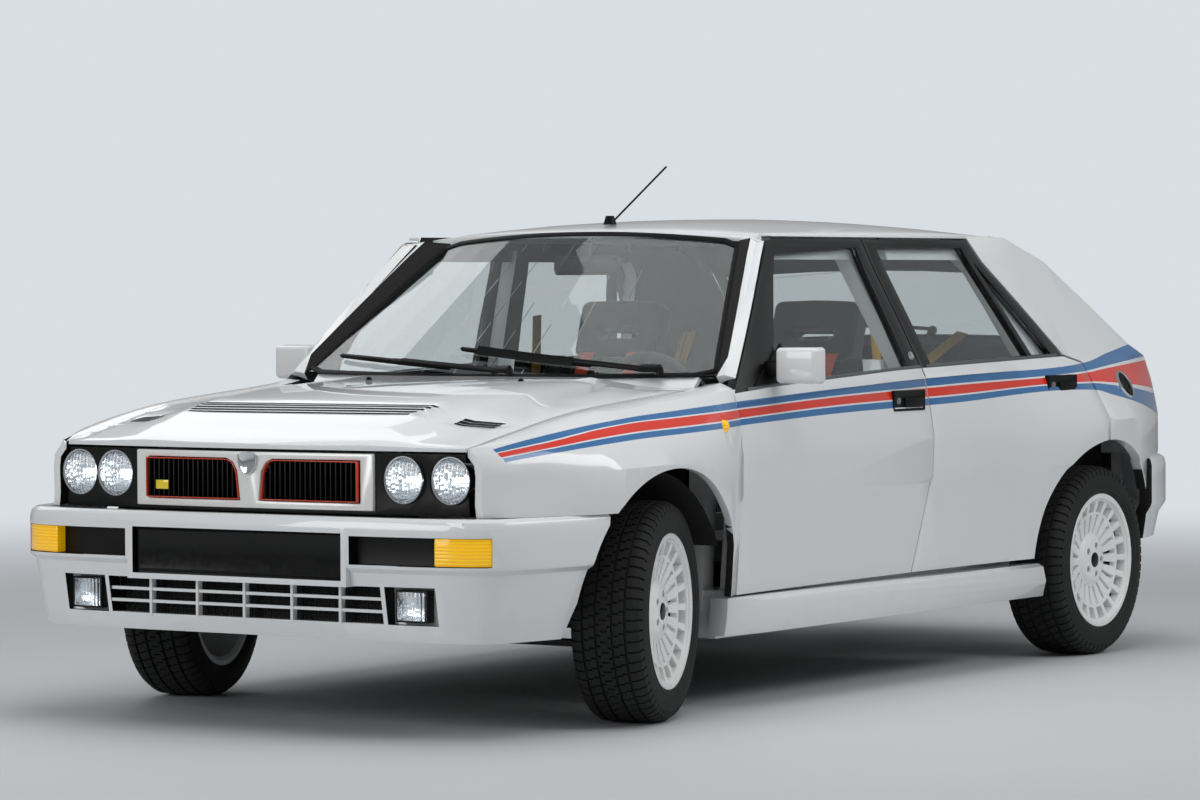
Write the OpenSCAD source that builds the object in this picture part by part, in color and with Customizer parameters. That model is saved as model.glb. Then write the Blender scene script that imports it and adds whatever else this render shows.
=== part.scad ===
// Rally car: a five-door hatchback with flared arches, on four steered or plain wheels.
// Front is -Y, the car's left is +X, the ground is z = 0. All sizes are in millimetres.

/* [Overall] */
// Length over both bumpers
car_l = 3900; // [3700:10:4300]
// Width over the wheel-arch flares
car_w = 1770; // [1700:10:1850]
// Height of the roof crown above the ground
car_h = 1352; // [1330:1:1400]
// Distance between the axles
wheelbase = 2480; // [2420:10:2640]
// Front axle to the front of the bumper
front_overhang = 752; // [730:1:780]
// Distance between the tyre centres of one axle
track = 1500; // [1460:5:1540]

/* [Wheels] */
// Outer diameter of a tyre
tyre_d = 586; // [560:1:610]
// Width of a tyre
tyre_w = 205; // [185:1:215]
// Diameter of the rim's bead seat
rim_d = 381; // [356:1:406]
// Height of the rim's lip above the bead seat
rim_lip = 17; // [12:1:20]
// Width of the rim between its lips
rim_w = 190; // [170:1:200]
// Hub face outboard of the wheel's middle plane
hub_out = 62; // [40:1:75]
// Diameter of the hub's centre bore in the rim
hub_bore = 58; // [50:1:70]
// Angle of the left front wheel as parked, to the car's left
steer_left_deg = 16.4; // [0:0.1:20]
// Angle of the right front wheel as parked, to the car's left
steer_right_deg = 14.9; // [0:0.1:20]
// Wheel centre outboard of its steering axis
steer_offset = 15; // [5:1:40]

/* [Panels] */
// Gap between a moving panel and its neighbours
panel_gap = 6; // [6:0.5:9]
// Thickness of the outer skin of doors, wings and lids
skin_t = 22; // [18:1:26]
// Whole thickness of a door below its window
door_t = 70; // [60:1:80]
// Thickness of a window pane
glass_t = 4; // [3:0.5:6]
// Clearance between a pane and the panel that holds it
seat_gap = 0.3; // [0.2:0.1:0.5]
// Radius of the front wheel arches
front_arch_r = 380; // [360:1:395]
// Radius of the rear wheel arches
rear_arch_r = 375; // [360:1:390]
// Height of the door bottoms above the ground
door_bottom_z = 309; // [295:1:325]
// Height of the waistline crease at the front door
crease_z = 690; // [670:1:710]
// Height of the waist, under the side windows, at the front door
waist_z = 872; // [860:1:885]

/* [Interior] */
// Diameter of the steering wheel
steering_d = 370; // [340:1:390]
// Width of a front seat
seat_w = 500; // [440:5:520]
// Height of the front seats' cushions above the floor
seat_h = 190; // [150:1:220]

/* [Hidden] */
$fn = 48;

// Places along the car
nose_y = -car_l / 2;
tail_y = car_l / 2;
front_axle_y = nose_y + front_overhang;
rear_axle_y = front_axle_y + wheelbase;
axle_z = tyre_d / 2;
half_w = car_w / 2;
// How much longer the cabin is than the standard one, shared by both doors
stretch = wheelbase - 2480;
door_front_y = front_axle_y + 439;
b_post_y = front_axle_y + 1484 + stretch / 2;
rear_door_y = rear_axle_y - 17;
roof_up = car_h - 1352;
dash_y = front_axle_y + 600;

// Value at place s in a list of [place, value], on a smooth curve through the listed points
function part_of(list, s, i = 0) =
    i >= len(list) - 2 || s < list[i + 1][0] ? i : part_of(list, s, i + 1);
function rise(list, i) =
    let (a = list[max(i - 1, 0)], b = list[min(i + 1, len(list) - 1)]) (b[1] - a[1]) / (b[0] - a[0]);
function curve(list, s) =
    let (i = part_of(list, s), a = list[i], b = list[i + 1], w = b[0] - a[0],
         t = min(max((s - a[0]) / w, 0), 1), u = 1 - t)
    a[1] * u * u * (1 + 2 * t) + b[1] * t * t * (1 + 2 * u)
    + w * (rise(list, i) * t * u * u - rise(list, i + 1) * t * t * u);
function line(list, s) = lookup(s, list);
function steps(a, b, n) = [for (i = [0:n]) a + (b - a) * i / n];

// Half width of the body along its crease, with the flares over both axles
wide = [[nose_y + 90, half_w - 185], [front_axle_y - 560, half_w - 130], [front_axle_y - 460, half_w - 85],
    [front_axle_y - 300, half_w - 15], [front_axle_y - 150, half_w], [front_axle_y + 150, half_w],
    [front_axle_y + 340, half_w - 35], [front_axle_y + 440, half_w - 73],
    [front_axle_y + 900, half_w - 77], [rear_axle_y - 840, half_w - 75], [rear_axle_y - 480, half_w - 62],
    [rear_axle_y - 240, half_w - 25], [rear_axle_y - 80, half_w], [rear_axle_y + 110, half_w],
    [rear_axle_y + 260, half_w - 20], [rear_axle_y + 460, half_w - 85], [tail_y - 40, half_w - 155]];
// Half width at the waist, under the windows
waist_w = [[nose_y + 90, half_w - 205], [front_axle_y - 460, half_w - 130], [front_axle_y, half_w - 100],
    [front_axle_y + 440, half_w - 98], [front_axle_y + 1000, half_w - 100], [rear_axle_y - 300, half_w - 105],
    [rear_axle_y, half_w - 112], [rear_axle_y + 300, half_w - 130], [rear_axle_y + 500, half_w - 150],
    [tail_y - 40, half_w - 185]];
// Half width at the bottom of doors and wings
low_w = [[nose_y + 90, half_w - 190], [front_axle_y - 460, half_w - 60], [front_axle_y - 300, half_w - 30],
    [front_axle_y + 300, half_w - 40], [front_axle_y + 440, half_w - 98], [rear_axle_y - 700, half_w - 98],
    [rear_axle_y - 350, half_w - 72], [rear_axle_y, half_w - 30], [rear_axle_y + 300, half_w - 40],
    [tail_y - 40, half_w - 165]];
// Height of the crease, of the bright step under it, and of the waist
crease = [[nose_y + 90, crease_z - 20], [front_axle_y, crease_z - 5], [door_front_y, crease_z],
    [b_post_y, crease_z + 14], [rear_door_y, crease_z + 38], [tail_y, crease_z + 48]];
waist = [[nose_y + 90, waist_z - 148], [front_axle_y - 460, waist_z - 105], [front_axle_y - 180, waist_z - 60],
    [front_axle_y + 340, waist_z - 22], [door_front_y + 200, waist_z], [b_post_y - 150, waist_z + 32],
    [rear_door_y - 180, waist_z + 54], [tail_y - 150, waist_z + 60]];
roof_z = 1286 + roof_up;
roof_edge_x = half_w - 253;

function step_z(y) = crease_z - 120 + 0.0125 * y;
function waist_x(y) = curve(waist_w, y);
function crease_x(y) = curve(wide, y);
function low_x(y) = curve(low_w, y);
// Half width of the side window plane at a height above the waist
function top_x(y) = roof_edge_x - max(0, y - (rear_axle_y - 280)) * 0.075;
function glass_x(y, z) =
    let (w = line(waist, y), t = min(1, (z - w) / (roof_z - w))) waist_x(y) + (top_x(y) - waist_x(y)) * t + 10 * t * (1 - t);

// Solid between two grids of points: the outer one and the inner one behind it
module shell(out, inn) {
    r = len(out);
    c = len(out[0]);
    n = r * c;
    points = concat([for (row = out) each row], [for (row = inn) each row]);
    face = [for (i = [0:r - 2], j = [0:c - 2]) each
        let (a = i * c + j, b = a + 1, d = a + c, e = d + 1) [[a, d, b], [b, d, e]]];
    back = [for (f = face) [f[2] + n, f[1] + n, f[0] + n]];
    rim = concat([for (j = [0:c - 2]) j], [for (i = [0:r - 2]) i * c + c - 1],
        [for (j = [c - 1:-1:1]) (r - 1) * c + j], [for (i = [r - 1:-1:1]) i * c]);
    wall = [for (k = [0:len(rim) - 1]) each
        let (a = rim[k], b = rim[(k + 1) % len(rim)]) [[a, b, a + n], [b, b + n, a + n]]];
    polyhedron(points, concat(face, back, wall), convexity = 10);
}

// Side of the body below the waist, from y0 to y1, between two depths behind its surface
module side_wall(ys, depth_out, depth_in, low_z, extra_top = 0) {
    function row(k, y, d) =
        k == 0 ? [low_x(y) - d, y, low_z] :
        k == 1 ? [crease_x(y) - 9 - d, y, step_z(y)] :
        k == 2 ? [crease_x(y) - 1 - d, y, step_z(y) + 16] :
        k == 3 ? [crease_x(y) - d, y, curve(crease, y)] :
        k == 4 ? let (w = line(waist, y), c = curve(crease, y))
            [(crease_x(y) * 0.42 + waist_x(y) * 0.58) + 4 - d, y, c * 0.45 + w * 0.55] :
        [waist_x(y) - d, y, line(waist, y) + extra_top];
    out = [for (k = [0:5]) [for (y = ys) row(k, y, depth_out)]];
    inn = [for (k = [0:5]) [for (y = ys) row(k, y, depth_in)]];
    shell(out, inn);
}

// Side of the cabin above the waist, from z0 below the waist to z1 below the roof edge
module upper_wall(ys, depth_out, depth_in, below = 30, above = 20) {
    function row(k, y, d) = let (w = line(waist, y), z = [w - below, w + 150, w + 290, roof_z + above][k])
        [glass_x(y, z) - d, y, z];
    shell([for (k = [0:3]) [for (y = ys) row(k, y, depth_out)]],
        [for (k = [0:3]) [for (y = ys) row(k, y, depth_in)]]);
}

// Prism along X over an outline of [y, z] points, on the car's left side
module across(outline, x0 = 400, x1 = 1000) {
    translate([x0, 0, 0]) rotate([90, 0, 90]) linear_extrude(x1 - x0) polygon(outline);
}

module both() {
    children();
    mirror([1, 0, 0]) children();
}

module arch(y, r, x0 = 380, x1 = 1000) {
    translate([x0, y, axle_z]) rotate([0, 90, 0]) cylinder(r = r, h = x1 - x0, $fn = 96);
}

// Outlines of the doors in side view, as [y, z]
g = panel_gap / 2;
door_top_z = roof_z - 2;
front_door_outline = [[door_front_y, door_bottom_z], [b_post_y - 79 - g, door_bottom_z + 6],
    [b_post_y + 5 - g, step_z(b_post_y)], [b_post_y + 14 - g, crease_z + 24], [b_post_y - 6 - g, waist_z + 12],
    [b_post_y - 114 - g, door_top_z], [door_front_y + 430, door_top_z], [door_front_y + 408, door_top_z - 10],
    [door_front_y + 10, waist_z - 4], [door_front_y, waist_z - 20]];
rear_door_outline = [[b_post_y - 79 + g, door_bottom_z + 6], [rear_axle_y - 300, door_bottom_z + 8],
    [rear_door_y - 200, crease_z - 130], [rear_door_y - 14, crease_z - 80], [rear_door_y - 11, crease_z],
    [rear_door_y + 5, waist_z + 20], [rear_door_y - 4, waist_z + 34], [rear_door_y - 105, waist_z + 56],
    [rear_axle_y - 430, door_top_z - 70], [rear_axle_y - 480, door_top_z], [b_post_y - 114 + g, door_top_z],
    [b_post_y - 6 + g, waist_z + 12], [b_post_y + 14 + g, crease_z + 24], [b_post_y + 5 + g, step_z(b_post_y)]];
// Window openings in the doors
front_window = [[door_front_y + 205, waist_z + 8], [b_post_y - 85, waist_z + 36], [b_post_y - 160, door_top_z - 24],
    [door_front_y + 424, door_top_z - 46]];
rear_window_front = [[b_post_y + 50, waist_z + 44], [rear_door_y - 330, waist_z + 60],
    [rear_door_y - 512, door_top_z - 24], [b_post_y - 42, door_top_z - 24]];
quarter_light = [[rear_door_y - 300, waist_z + 61], [rear_door_y - 175, waist_z + 62],
    [rear_door_y - 466, door_top_z - 62]];

// A ring of y places, closer together over the flares
function places(a, b, pitch) = steps(a, b, max(2, round((b - a) / pitch)));
front_door_ys = places(door_front_y - 20, b_post_y + 40, 105);
rear_door_ys = places(b_post_y - 110, rear_door_y + 30, 95);

module front_door() {
    ys = front_door_ys;
    difference() {
        union() {
            intersection() {
                side_wall(ys, 0, skin_t, door_bottom_z - 20);
                across(front_door_outline);
            }
            // the thick inner part stops short of the skin's edges, so that it clears as the door swings
            intersection() {
                side_wall(ys, skin_t - 3, door_t, door_bottom_z - 20);
                across([[door_front_y + 25, door_bottom_z + 14], [b_post_y - 100, door_bottom_z + 18],
                    [b_post_y - 40, crease_z - 60], [b_post_y - 40, waist_z - 5], [door_front_y + 40, waist_z - 34]]);
            }
            intersection() {
                upper_wall(ys, 2, 30);
                difference() {
                    across(front_door_outline);
                    across(front_window);
                }
            }
        }
    }
}

module rear_door() {
    ys = rear_door_ys;
    difference() {
        union() {
            intersection() {
                side_wall(ys, 0, skin_t, door_bottom_z - 20);
                across(rear_door_outline);
            }
            intersection() {
                side_wall(ys, skin_t - 3, door_t, door_bottom_z - 20);
                across([[b_post_y - 10, door_bottom_z + 18], [rear_axle_y - 420, door_bottom_z + 18],
                    [rear_door_y - 180, crease_z - 20], [rear_door_y - 60, crease_z + 20],
                    [rear_door_y - 120, waist_z + 20], [b_post_y + 40, waist_z - 5]]);
            }
            intersection() {
                upper_wall(ys, 2, 30);
                difference() {
                    across(rear_door_outline);
                    across(rear_window_front);
                    across(quarter_light);
                }
            }
        }
        arch(rear_axle_y, rear_arch_r);
    }
}

// Panes set into the middle of the door frames
module pane(outline) {
    ys = places(door_front_y + 120, rear_door_y, 150);
    intersection() {
        upper_wall(ys, 12, 12 + glass_t, -2);
        across(outline);
    }
}

function shrink(list, by) =
    let (c = [for (k = [0, 1]) [for (p = list) p[k]] * [for (p = list) 1] / len(list)])
    [for (i = [0:len(list) - 1]) let (n = len(list), p = list[i], a = list[(i + n - 1) % n], b = list[(i + 1) % n],
        u = (p - a) / norm(p - a), v = (b - p) / norm(b - p), m = [-u[1] - v[1], u[0] + v[0]])
        p + m * by / (1 + u * v)];

module front_glass() pane(shrink(front_window, seat_gap));
module rear_glass() {
    pane(shrink(rear_window_front, seat_gap));
    pane(shrink(quarter_light, seat_gap));
}

// Bonnet shut line: half width and height along the car
shut_x = [[nose_y + 60, half_w - 228], [nose_y + 115, half_w - 221], [front_axle_y - 190, half_w - 197],
    [front_axle_y + 345, half_w - 187], [front_axle_y + 480, half_w - 185]];
shut_z = [[nose_y + 60, waist_z - 131], [nose_y + 115, waist_z - 129], [nose_y + 260, waist_z - 100],
    [front_axle_y - 190, waist_z - 46], [front_axle_y + 345, waist_z], [front_axle_y + 480, waist_z + 20]];

// Side repeater lamps: place along the car and height, and radius
repeater = [front_axle_y + 318, waist_z - 99];
repeater_r = 17;

module front_wing() {
    ys = concat(places(nose_y + 112, front_axle_y - 300, 60), places(front_axle_y - 240, front_axle_y + 240, 60),
        places(front_axle_y + 300, door_front_y - panel_gap, 46));
    function row(k, y, d) =
        let (sx = curve(shut_x, y) + g, sz = curve(shut_z, y) - 2, wx = waist_x(y), wz = line(waist, y),
            cx = crease_x(y), cz = curve(crease, y))
        k == 0 ? [low_x(y) - d, y, door_bottom_z] :
        k == 1 ? [(crease_x(y) + low_x(y)) / 2 + 8 - d, y, 520] :
        k == 2 ? [cx - 2 - d, y, cz - 70] :
        k == 3 ? [cx - d, y, cz] :
        k == 4 ? [cx * 0.5 + wx * 0.5 + 8 - d, y, cz * 0.4 + wz * 0.6 - d * 0.3] :
        k == 5 ? [wx - 6 - d * 0.7, y, wz * 0.5 + sz * 0.5 + 2 - d * 0.7] :
        k == 6 ? [wx * 0.5 + sx * 0.5 - d * 0.4, y, sz + 4 - d * 0.8] :
        [sx, y, sz - d];
    difference() {
        shell([for (k = [0:7]) [for (y = ys) row(k, y, 0)]], [for (k = [0:7]) [for (y = ys) row(k, y, skin_t)]]);
        arch(front_axle_y, front_arch_r);
        across([[nose_y, 200], [front_axle_y, 200], [front_axle_y - 200, wing_foot_z], [nose_y, wing_foot_z]]);
        translate([half_w - 120, repeater[0], repeater[1]]) rotate([0, 90, 0])
            cylinder(r = repeater_r + seat_gap, h = 100);
    }
}

module front_wings() {
    color("white") both() front_wing();
}

// Bonnet: a shallow dome with a raised middle, and slots for the louvred outlets
bonnet_rear_y = front_axle_y + 335;
function bonnet_front_y(x) = nose_y + 70 + 45 * pow(abs(x) / (half_w - 228), 2);
middle_z = [[nose_y + 60, waist_z - 129], [nose_y + 150, waist_z - 97], [nose_y + 260, waist_z - 51],
    [nose_y + 366, waist_z - 27], [front_axle_y - 190, waist_z - 4], [front_axle_y + 100, waist_z + 16],
    [front_axle_y + 345, waist_z + 30], [front_axle_y + 480, waist_z + 36]];
function bonnet_z(x, y) =
    let (e = curve(shut_z, y), m = curve(middle_z, y), t = abs(x) / curve(shut_x, y),
        flat = t < 0.56 ? 1 : t > 0.78 ? 0.3 * (1 - t) / 0.22 : 1 - 0.7 * (t - 0.56) / 0.22)
    e + (m - e) * flat;

bonnet_ts = [-1, -0.9, -0.78, -0.67, -0.56, -0.3, 0, 0.3, 0.56, 0.67, 0.78, 0.9, 1];
bonnet_ss = [0, 0.04, 0.1, 0.17, 0.25, 0.35, 0.48, 0.62, 0.75, 0.88, 1];
function bonnet_grid(d) = [for (s = bonnet_ss) [for (t = bonnet_ts)
    let (edge = half_w - 228, yf = bonnet_front_y(t * edge), y = yf + (bonnet_rear_y - panel_gap - yf) * s,
        x = t * (curve(shut_x, y) - g), z = bonnet_z(x, y))
    [x, y, d > 0 ? max(z - d, panel_z[1] + panel_gap) : z]]];
module bonnet() {
    color("white") difference() {
        shell(bonnet_grid(0), bonnet_grid(skin_t));
        for (i = [0:4])
            translate([0, nose_y + 268 + i * 22, waist_z - 90])
                linear_extrude(120) square([740 + i * 14, 12], center = true);
        for (side = [-1, 1], i = [0:2])
            translate([side * 555, nose_y + 300 + i * 22, waist_z - 120])
                rotate([0, 0, side * 12]) linear_extrude(120) square([115, 12], center = true);
    }
}

// Roof, from the windscreen to the tailgate
roof_front_y = door_front_y + 430;
roof_rear_y = rear_axle_y - 240;
crown_z = [[roof_front_y, car_h - 42], [roof_front_y + 130, car_h - 24], [roof_front_y + 330, car_h - 10],
    [roof_front_y + 630, car_h - 1], [roof_front_y + 900, car_h - 2], [roof_rear_y - 150, car_h - 14],
    [roof_rear_y + 20, car_h - 28]];
roof_rim_z = [[roof_front_y, roof_z - 3], [roof_front_y + 120, roof_z + 8], [roof_front_y + 400, roof_z + 16],
    [roof_rear_y - 300, roof_z + 17], [roof_rear_y, roof_z + 10]];
screen_top_x = half_w - 378;
function roof_side(y) = top_x(y) - 42 - seat_gap;
function roof_height(x, y) =
    let (t = abs(x) / roof_side(y), e = curve(roof_rim_z, y)) curve(crown_z, y) + (e - curve(crown_z, y)) * pow(t, 2.4);
module roof_panel() {
    ts = [-1, -0.93, -0.84, -0.7, -0.5, -0.25, 0, 0.25, 0.5, 0.7, 0.84, 0.93, 1];
    ss = [0, 0.05, 0.12, 0.22, 0.36, 0.5, 0.64, 0.78, 0.88, 0.95, 1];
    function at(s, t, d) =
        let (x0 = t * roof_side(roof_front_y), yf = roof_front_y + 50 * pow(x0 / screen_top_x, 2),
            y = yf + (roof_rear_y - yf) * s, x = t * roof_side(y))
        [x, y, roof_height(x, y) - d];
    color("white")
        shell([for (s = ss) [for (t = ts) at(s, t, 0)]], [for (s = ss) [for (t = ts) at(s, t, skin_t)]]);
}

// Windscreen: bottom and top edges, curved in plan
screen_low_y = front_axle_y + 368;
screen_low_z = waist_z + 30;
function screen(t, s, d) =
    let (x0 = (half_w - 178) * t, y0 = screen_low_y + 106 * t * t, z0 = screen_low_z + 8 * t * t,
        x1 = screen_top_x * t, y1 = roof_front_y - 6 + 50 * t * t, z1 = car_h - 44 - 28 * t * t)
    [x0 + (x1 - x0) * s, y0 + (y1 - y0) * s + d * 0.64, z0 + (z1 - z0) * s - d * 0.77 + 10 * s * (1 - s)];
module windscreen() {
    ts = steps(-1, 1, 12);
    ss = steps(0, 0.985, 4);
    color("lightblue", 0.4) shell([for (s = ss) [for (t = ts) screen(t, s, 3)]],
        [for (s = ss) [for (t = ts) screen(t, s, 3 + glass_t)]]);
}

// Fixed sides of the body: pillars, roof rails and sills behind the doors, and the rear quarters
ring_out = door_t + 36;
ring_in = ring_out + 60;
hatch_top = [rear_axle_y + 6, 1220 + roof_up];
hatch_low = [rear_axle_y + 401, waist_z + 86];
hatch_corner = [rear_axle_y + 510, waist_z + 44];
function rear_outline(by) = [[rear_door_y + 5 + by, waist_z + 34], [rear_door_y - 1 + by, crease_z],
    [rear_door_y - 9 + by, crease_z - 80], [rear_axle_y, 450], [rear_axle_y + 300, 450],
    [rear_axle_y + 340, rear_bumper_top_z], [tail_y - 62, rear_bumper_top_z], [tail_y - 84, waist_z - 160],
    hatch_corner, hatch_low, hatch_top, [roof_rear_y + 10, roof_z + 8], [rear_axle_y - 480 + by, roof_z + 8],
    [rear_axle_y - 430 + by, door_top_z - 70 + by], [rear_door_y - 105 + by, waist_z + 56 + by],
    [rear_door_y - 4 + by, waist_z + 34 + by]];
module quarter() {
    ys = concat(places(rear_axle_y - 500, rear_axle_y + 300, 50), places(rear_axle_y + 350, tail_y - 10, 52));
    color("white") difference() {
        union() {
            intersection() {
                side_wall(ys, 0, skin_t + 10, 440, 0);
                across(rear_outline(panel_gap));
            }
            intersection() {
                upper_wall(ys, 0, 40, 12, 10);
                across(rear_outline(panel_gap));
            }
        }
        arch(rear_axle_y, rear_arch_r);
    }
}
// Front edge of the door frame at a height, and the windscreen pillar in front of it
function frame_front_y(z) = lookup(z, [[waist_z - 20, door_front_y], [waist_z - 4, door_front_y + 10],
    [door_top_z - 10, door_front_y + 408], [door_top_z, door_front_y + 430]]);
module screen_pillar() {
    function at(k, s, d) =
        let (p = screen(1, s, 0), z = p[2] - (k > 1 ? 4 : 0), y = frame_front_y(z) - panel_gap * 1.2,
            x = glass_x(y, z))
        k == 0 ? screen(1, s, d) + [seat_gap, 0, 0] :
        k == 1 ? [(p[0] + x) / 2, (p[1] + y) / 2 - 12 + d * 0.6, z + 6 - d * 0.6] :
        k == 2 ? [x - 5 - d * 0.9, y - d * 0.1, z] :
        k == 3 ? [x - 37 - d * 0.5, y - d * 0.05, z] :
        [x - 37 - d * 0.5, y + 26, z];
    ss = steps(-0.02, 1, 8);
    shell([for (k = [4:-1:0]) [for (s = ss) at(k, s, 0)]], [for (k = [4:-1:0]) [for (s = ss) at(k, s, 26)]]);
}
module pillars() {
    ys = places(door_front_y - 60, rear_door_y + 60, 130);
    color("white") {
        screen_pillar();
        // sill
        translate([half_w - 235, door_front_y - 30, 190]) cube([90, rear_axle_y - door_front_y - 370, 130]);
        // roof rail over the doors, the rear edge of the door opening and the top of the middle post,
        // cut back where the front corner of the rear door's frame swings inward
        difference() {
            union() {
                intersection() {
                    upper_wall(ys, 36, 80, 60, 16);
                    across([[door_front_y + 395, door_top_z - 60], [rear_axle_y - 480, door_top_z - 60],
                        [rear_axle_y - 430, door_top_z - 100], [rear_axle_y - 300, waist_z + 40],
                        [rear_axle_y - 200, waist_z + 40], [rear_axle_y - 330, roof_z - 26],
                        [door_front_y + 435, roof_z - 26]]);
                }
                intersection() {
                    upper_wall(ys, 36, 42, 60, 13);
                    across([[door_front_y + 440, door_top_z - 60], [rear_axle_y - 474, door_top_z - 60],
                        [rear_axle_y - 474, roof_z + 14], [door_front_y + 440, roof_z + 14]]);
                }
                intersection() {
                    upper_wall(ys, 42, 92, 30, 6);
                    across([[b_post_y - 50, waist_z + 20], [b_post_y + 40, waist_z + 20],
                        [b_post_y - 88, roof_z - 26], [b_post_y - 158, roof_z - 26]]);
                }
            }
            intersection() {
                upper_wall(ys, 20, 60, 200, 4);
                across([[b_post_y - 130, door_top_z - 110], [b_post_y + 60, door_top_z - 110],
                    [b_post_y + 60, door_top_z + panel_gap], [b_post_y - 130, door_top_z + panel_gap]]);
            }
        }
        // drip rail along the roof's edge
        intersection() {
            upper_wall(ys, 0, 42, -300, 13);
            across([[door_front_y + 440, door_top_z + panel_gap], [rear_axle_y - 474, door_top_z + panel_gap],
                [rear_axle_y - 474, roof_z + 14], [door_front_y + 440, roof_z + 14]]);
        }
        // posts behind the doors
        intersection() {
            side_wall(ys, ring_out, ring_in, 250, 40);
            union() {
                across([[door_front_y - 40, 270], [door_front_y + 40, 270], [door_front_y + 40, waist_z - 52],
                    [door_front_y - 40, waist_z - 52]]);
                across([[b_post_y - 90, 270], [b_post_y + 10, 270], [b_post_y + 50, waist_z + 60],
                    [b_post_y - 80, waist_z + 60]]);
            }
        }
        // jamb behind the rear edge of the rear door
        intersection() {
            side_wall(ys, ring_out, ring_in, 250, 40);
            across([[rear_door_y - 110, crease_z + 20], [rear_door_y + 40, crease_z + 20],
                [rear_door_y + 40, waist_z + 30], [rear_door_y - 110, waist_z + 30]]);
        }
        intersection() {
            side_wall(ys, skin_t, ring_in, 250, 40);
            across([[rear_door_y + 16, crease_z + 20], [rear_door_y + 40, crease_z + 20],
                [rear_door_y + 40, waist_z + 26], [rear_door_y + 16, waist_z + 26]]);
        }
        // strikers that the door latches close on
        intersection() {
            side_wall(front_door_ys, door_t + seat_gap, ring_out + 6, door_bottom_z - 20);
            across([[b_post_y - 84, 610], [b_post_y - 48, 610], [b_post_y - 48, 650], [b_post_y - 84, 650]]);
        }
        intersection() {
            side_wall(rear_door_ys, door_t + seat_gap, ring_out + 6, door_bottom_z - 20);
            across([[rear_door_y - 104, crease_z + 60], [rear_door_y - 72, crease_z + 60],
                [rear_door_y - 72, crease_z + 100], [rear_door_y - 104, crease_z + 100]]);
        }
    }
}
module body_sides() {
    both() {
        quarter();
        pillars();
    }
}

// Scuttle between the bonnet and the windscreen
module scuttle() {
    ts = steps(-0.93, 0.93, 10);
    color("white") shell(
        [for (k = [0:2]) [for (t = ts) let (p = screen(t, 0, 5 - seat_gap))
            k == 0 ? [p[0], p[1] - 34, waist_z - 45 + seat_gap] : k == 1 ? [p[0], p[1] - 30, p[2] - 34] : p - [0, 2, 4]]],
        [for (k = [0:2]) [for (t = ts) let (p = screen(t, 0, 5 - seat_gap))
            k == 0 ? [p[0], p[1] - 22, waist_z - 45 + seat_gap] : k == 1 ? [p[0], p[1] - 16, p[2] - 40] : p + [0, 14, -12]]]);
}

// Bumpers follow a path round the car's end: [half width, distance behind the end]
bumper_top_z = 567;
wing_foot_z = bumper_top_z - 1 + seat_gap;
bumper_low_z = 250;
rear_bumper_top_z = 602;
rear_bumper_low_z = 340;
front_path = [[0, 0], [345, 1], [520, 8], [640, 22], [715, 42], [760, 68], [790, 112], [812, 180],
    [832, 270], [850, 370], [864, 450], [872, 510]];
rear_path = [[0, 0], [500, 3], [640, 12], [715, 32], [760, 64], [790, 112], [812, 180], [832, 250], [846, 320]];
function wrap(path) =
    let (k = half_w / 885, h = [for (p = path) [p[0] * k, p[1]]], n = len(h))
    concat([for (i = [n - 1:-1:1]) [-h[i][0], h[i][1]]], h);
// Point i of a wrapped path, moved inward by d
function inset(path, i, d) =
    let (n = len(path), a = path[max(i - 1, 0)], b = path[min(i + 1, n - 1)], u = (b - a) / norm(b - a))
    path[i] + [-u[1], u[0]] * d;
module band(path, rows, depth) {
    w = wrap(path);
    idx = [for (i = [0:len(w) - 1]) i];
    function at(r, d) = [for (i = idx) let (q = inset(w, i, r[1] + d)) [q[0], nose_y + q[1], r[0]]];
    shell([for (r = rows) at(r, 0)], [for (r = rows) at(r, depth)]);
}
slot_z = [446, 519];
intake_z = [294, 390];
module front_bumper() {
    color("white") difference() {
        union() {
            difference() {
                band(front_path, [[bumper_low_z, 46], [330, 32], [425, 16], [437, 2], [445, 0], [540, 0],
                    [558, 5], [bumper_top_z - 1, 16]], 42);
                // recesses beside the number plate, the lower intake and the fog lamp pockets
                for (side = [-1, 1]) translate([side * 568, nose_y + 110, (slot_z[0] + slot_z[1]) / 2])
                    cube([396, 260, slot_z[1] - slot_z[0]], center = true);
                translate([-450, nose_y - 10, intake_z[0]]) cube([900, 130, intake_z[1] - intake_z[0]]);
                for (side = [-1, 1]) translate([side * 538, nose_y + 60, 342]) cube([150, 160, 98], center = true);
            }
            // bars across the intake
            for (z = [326, 358]) translate([-455, nose_y + 40, z - 4]) cube([910, 16, 8]);
            for (i = [-2:2]) translate([i * 157 - 4, nose_y + 38, 288]) cube([8, 18, 108]);
            // backs of the recesses, pockets and intake
            band(front_path, [[432, 37], [532, 37]], 8);
            for (side = [-1, 1]) translate([side * 538, nose_y + 80, 342]) cube([164, 12, 112], center = true);
            // plate holder
            translate([-362, nose_y + 1, 388]) cube([724, 60, 152]);
            // top deck that meets the headlamp panel
            translate([-700, nose_y + 40, bumper_top_z - 20]) cube([1400, 70, 12]);
        }
        translate([-345, nose_y - 10, 403]) cube([690, 32, 122]);
        both() arch(front_axle_y, front_arch_r, 560);
        both() across([[front_axle_y - 262, bumper_top_z + 40], [front_axle_y - 425, 230],
            [front_axle_y - 200, 150], [front_axle_y - 100, 600]], 700);
    }
}
module front_indicators() {
    color("orange") for (side = [0, 1]) mirror([side, 0, 0]) intersection() {
        band(front_path, [[slot_z[0] + 1, 3], [slot_z[1] - 1, 3]], 34 - seat_gap);
        translate([624, nose_y - 20, slot_z[0] - 5]) cube([141.7, 200, 90]);
    }
    // side repeaters on the wings
    color("orange") both() translate([half_w - 85, repeater[0], repeater[1]]) rotate([0, 90, 0])
        cylinder(r = repeater_r, h = 31);
}
module fog_lamps() {
    color("white") both() translate([486, nose_y + 42, 300]) cube([104, 32 - seat_gap, 84]);
}

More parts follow.
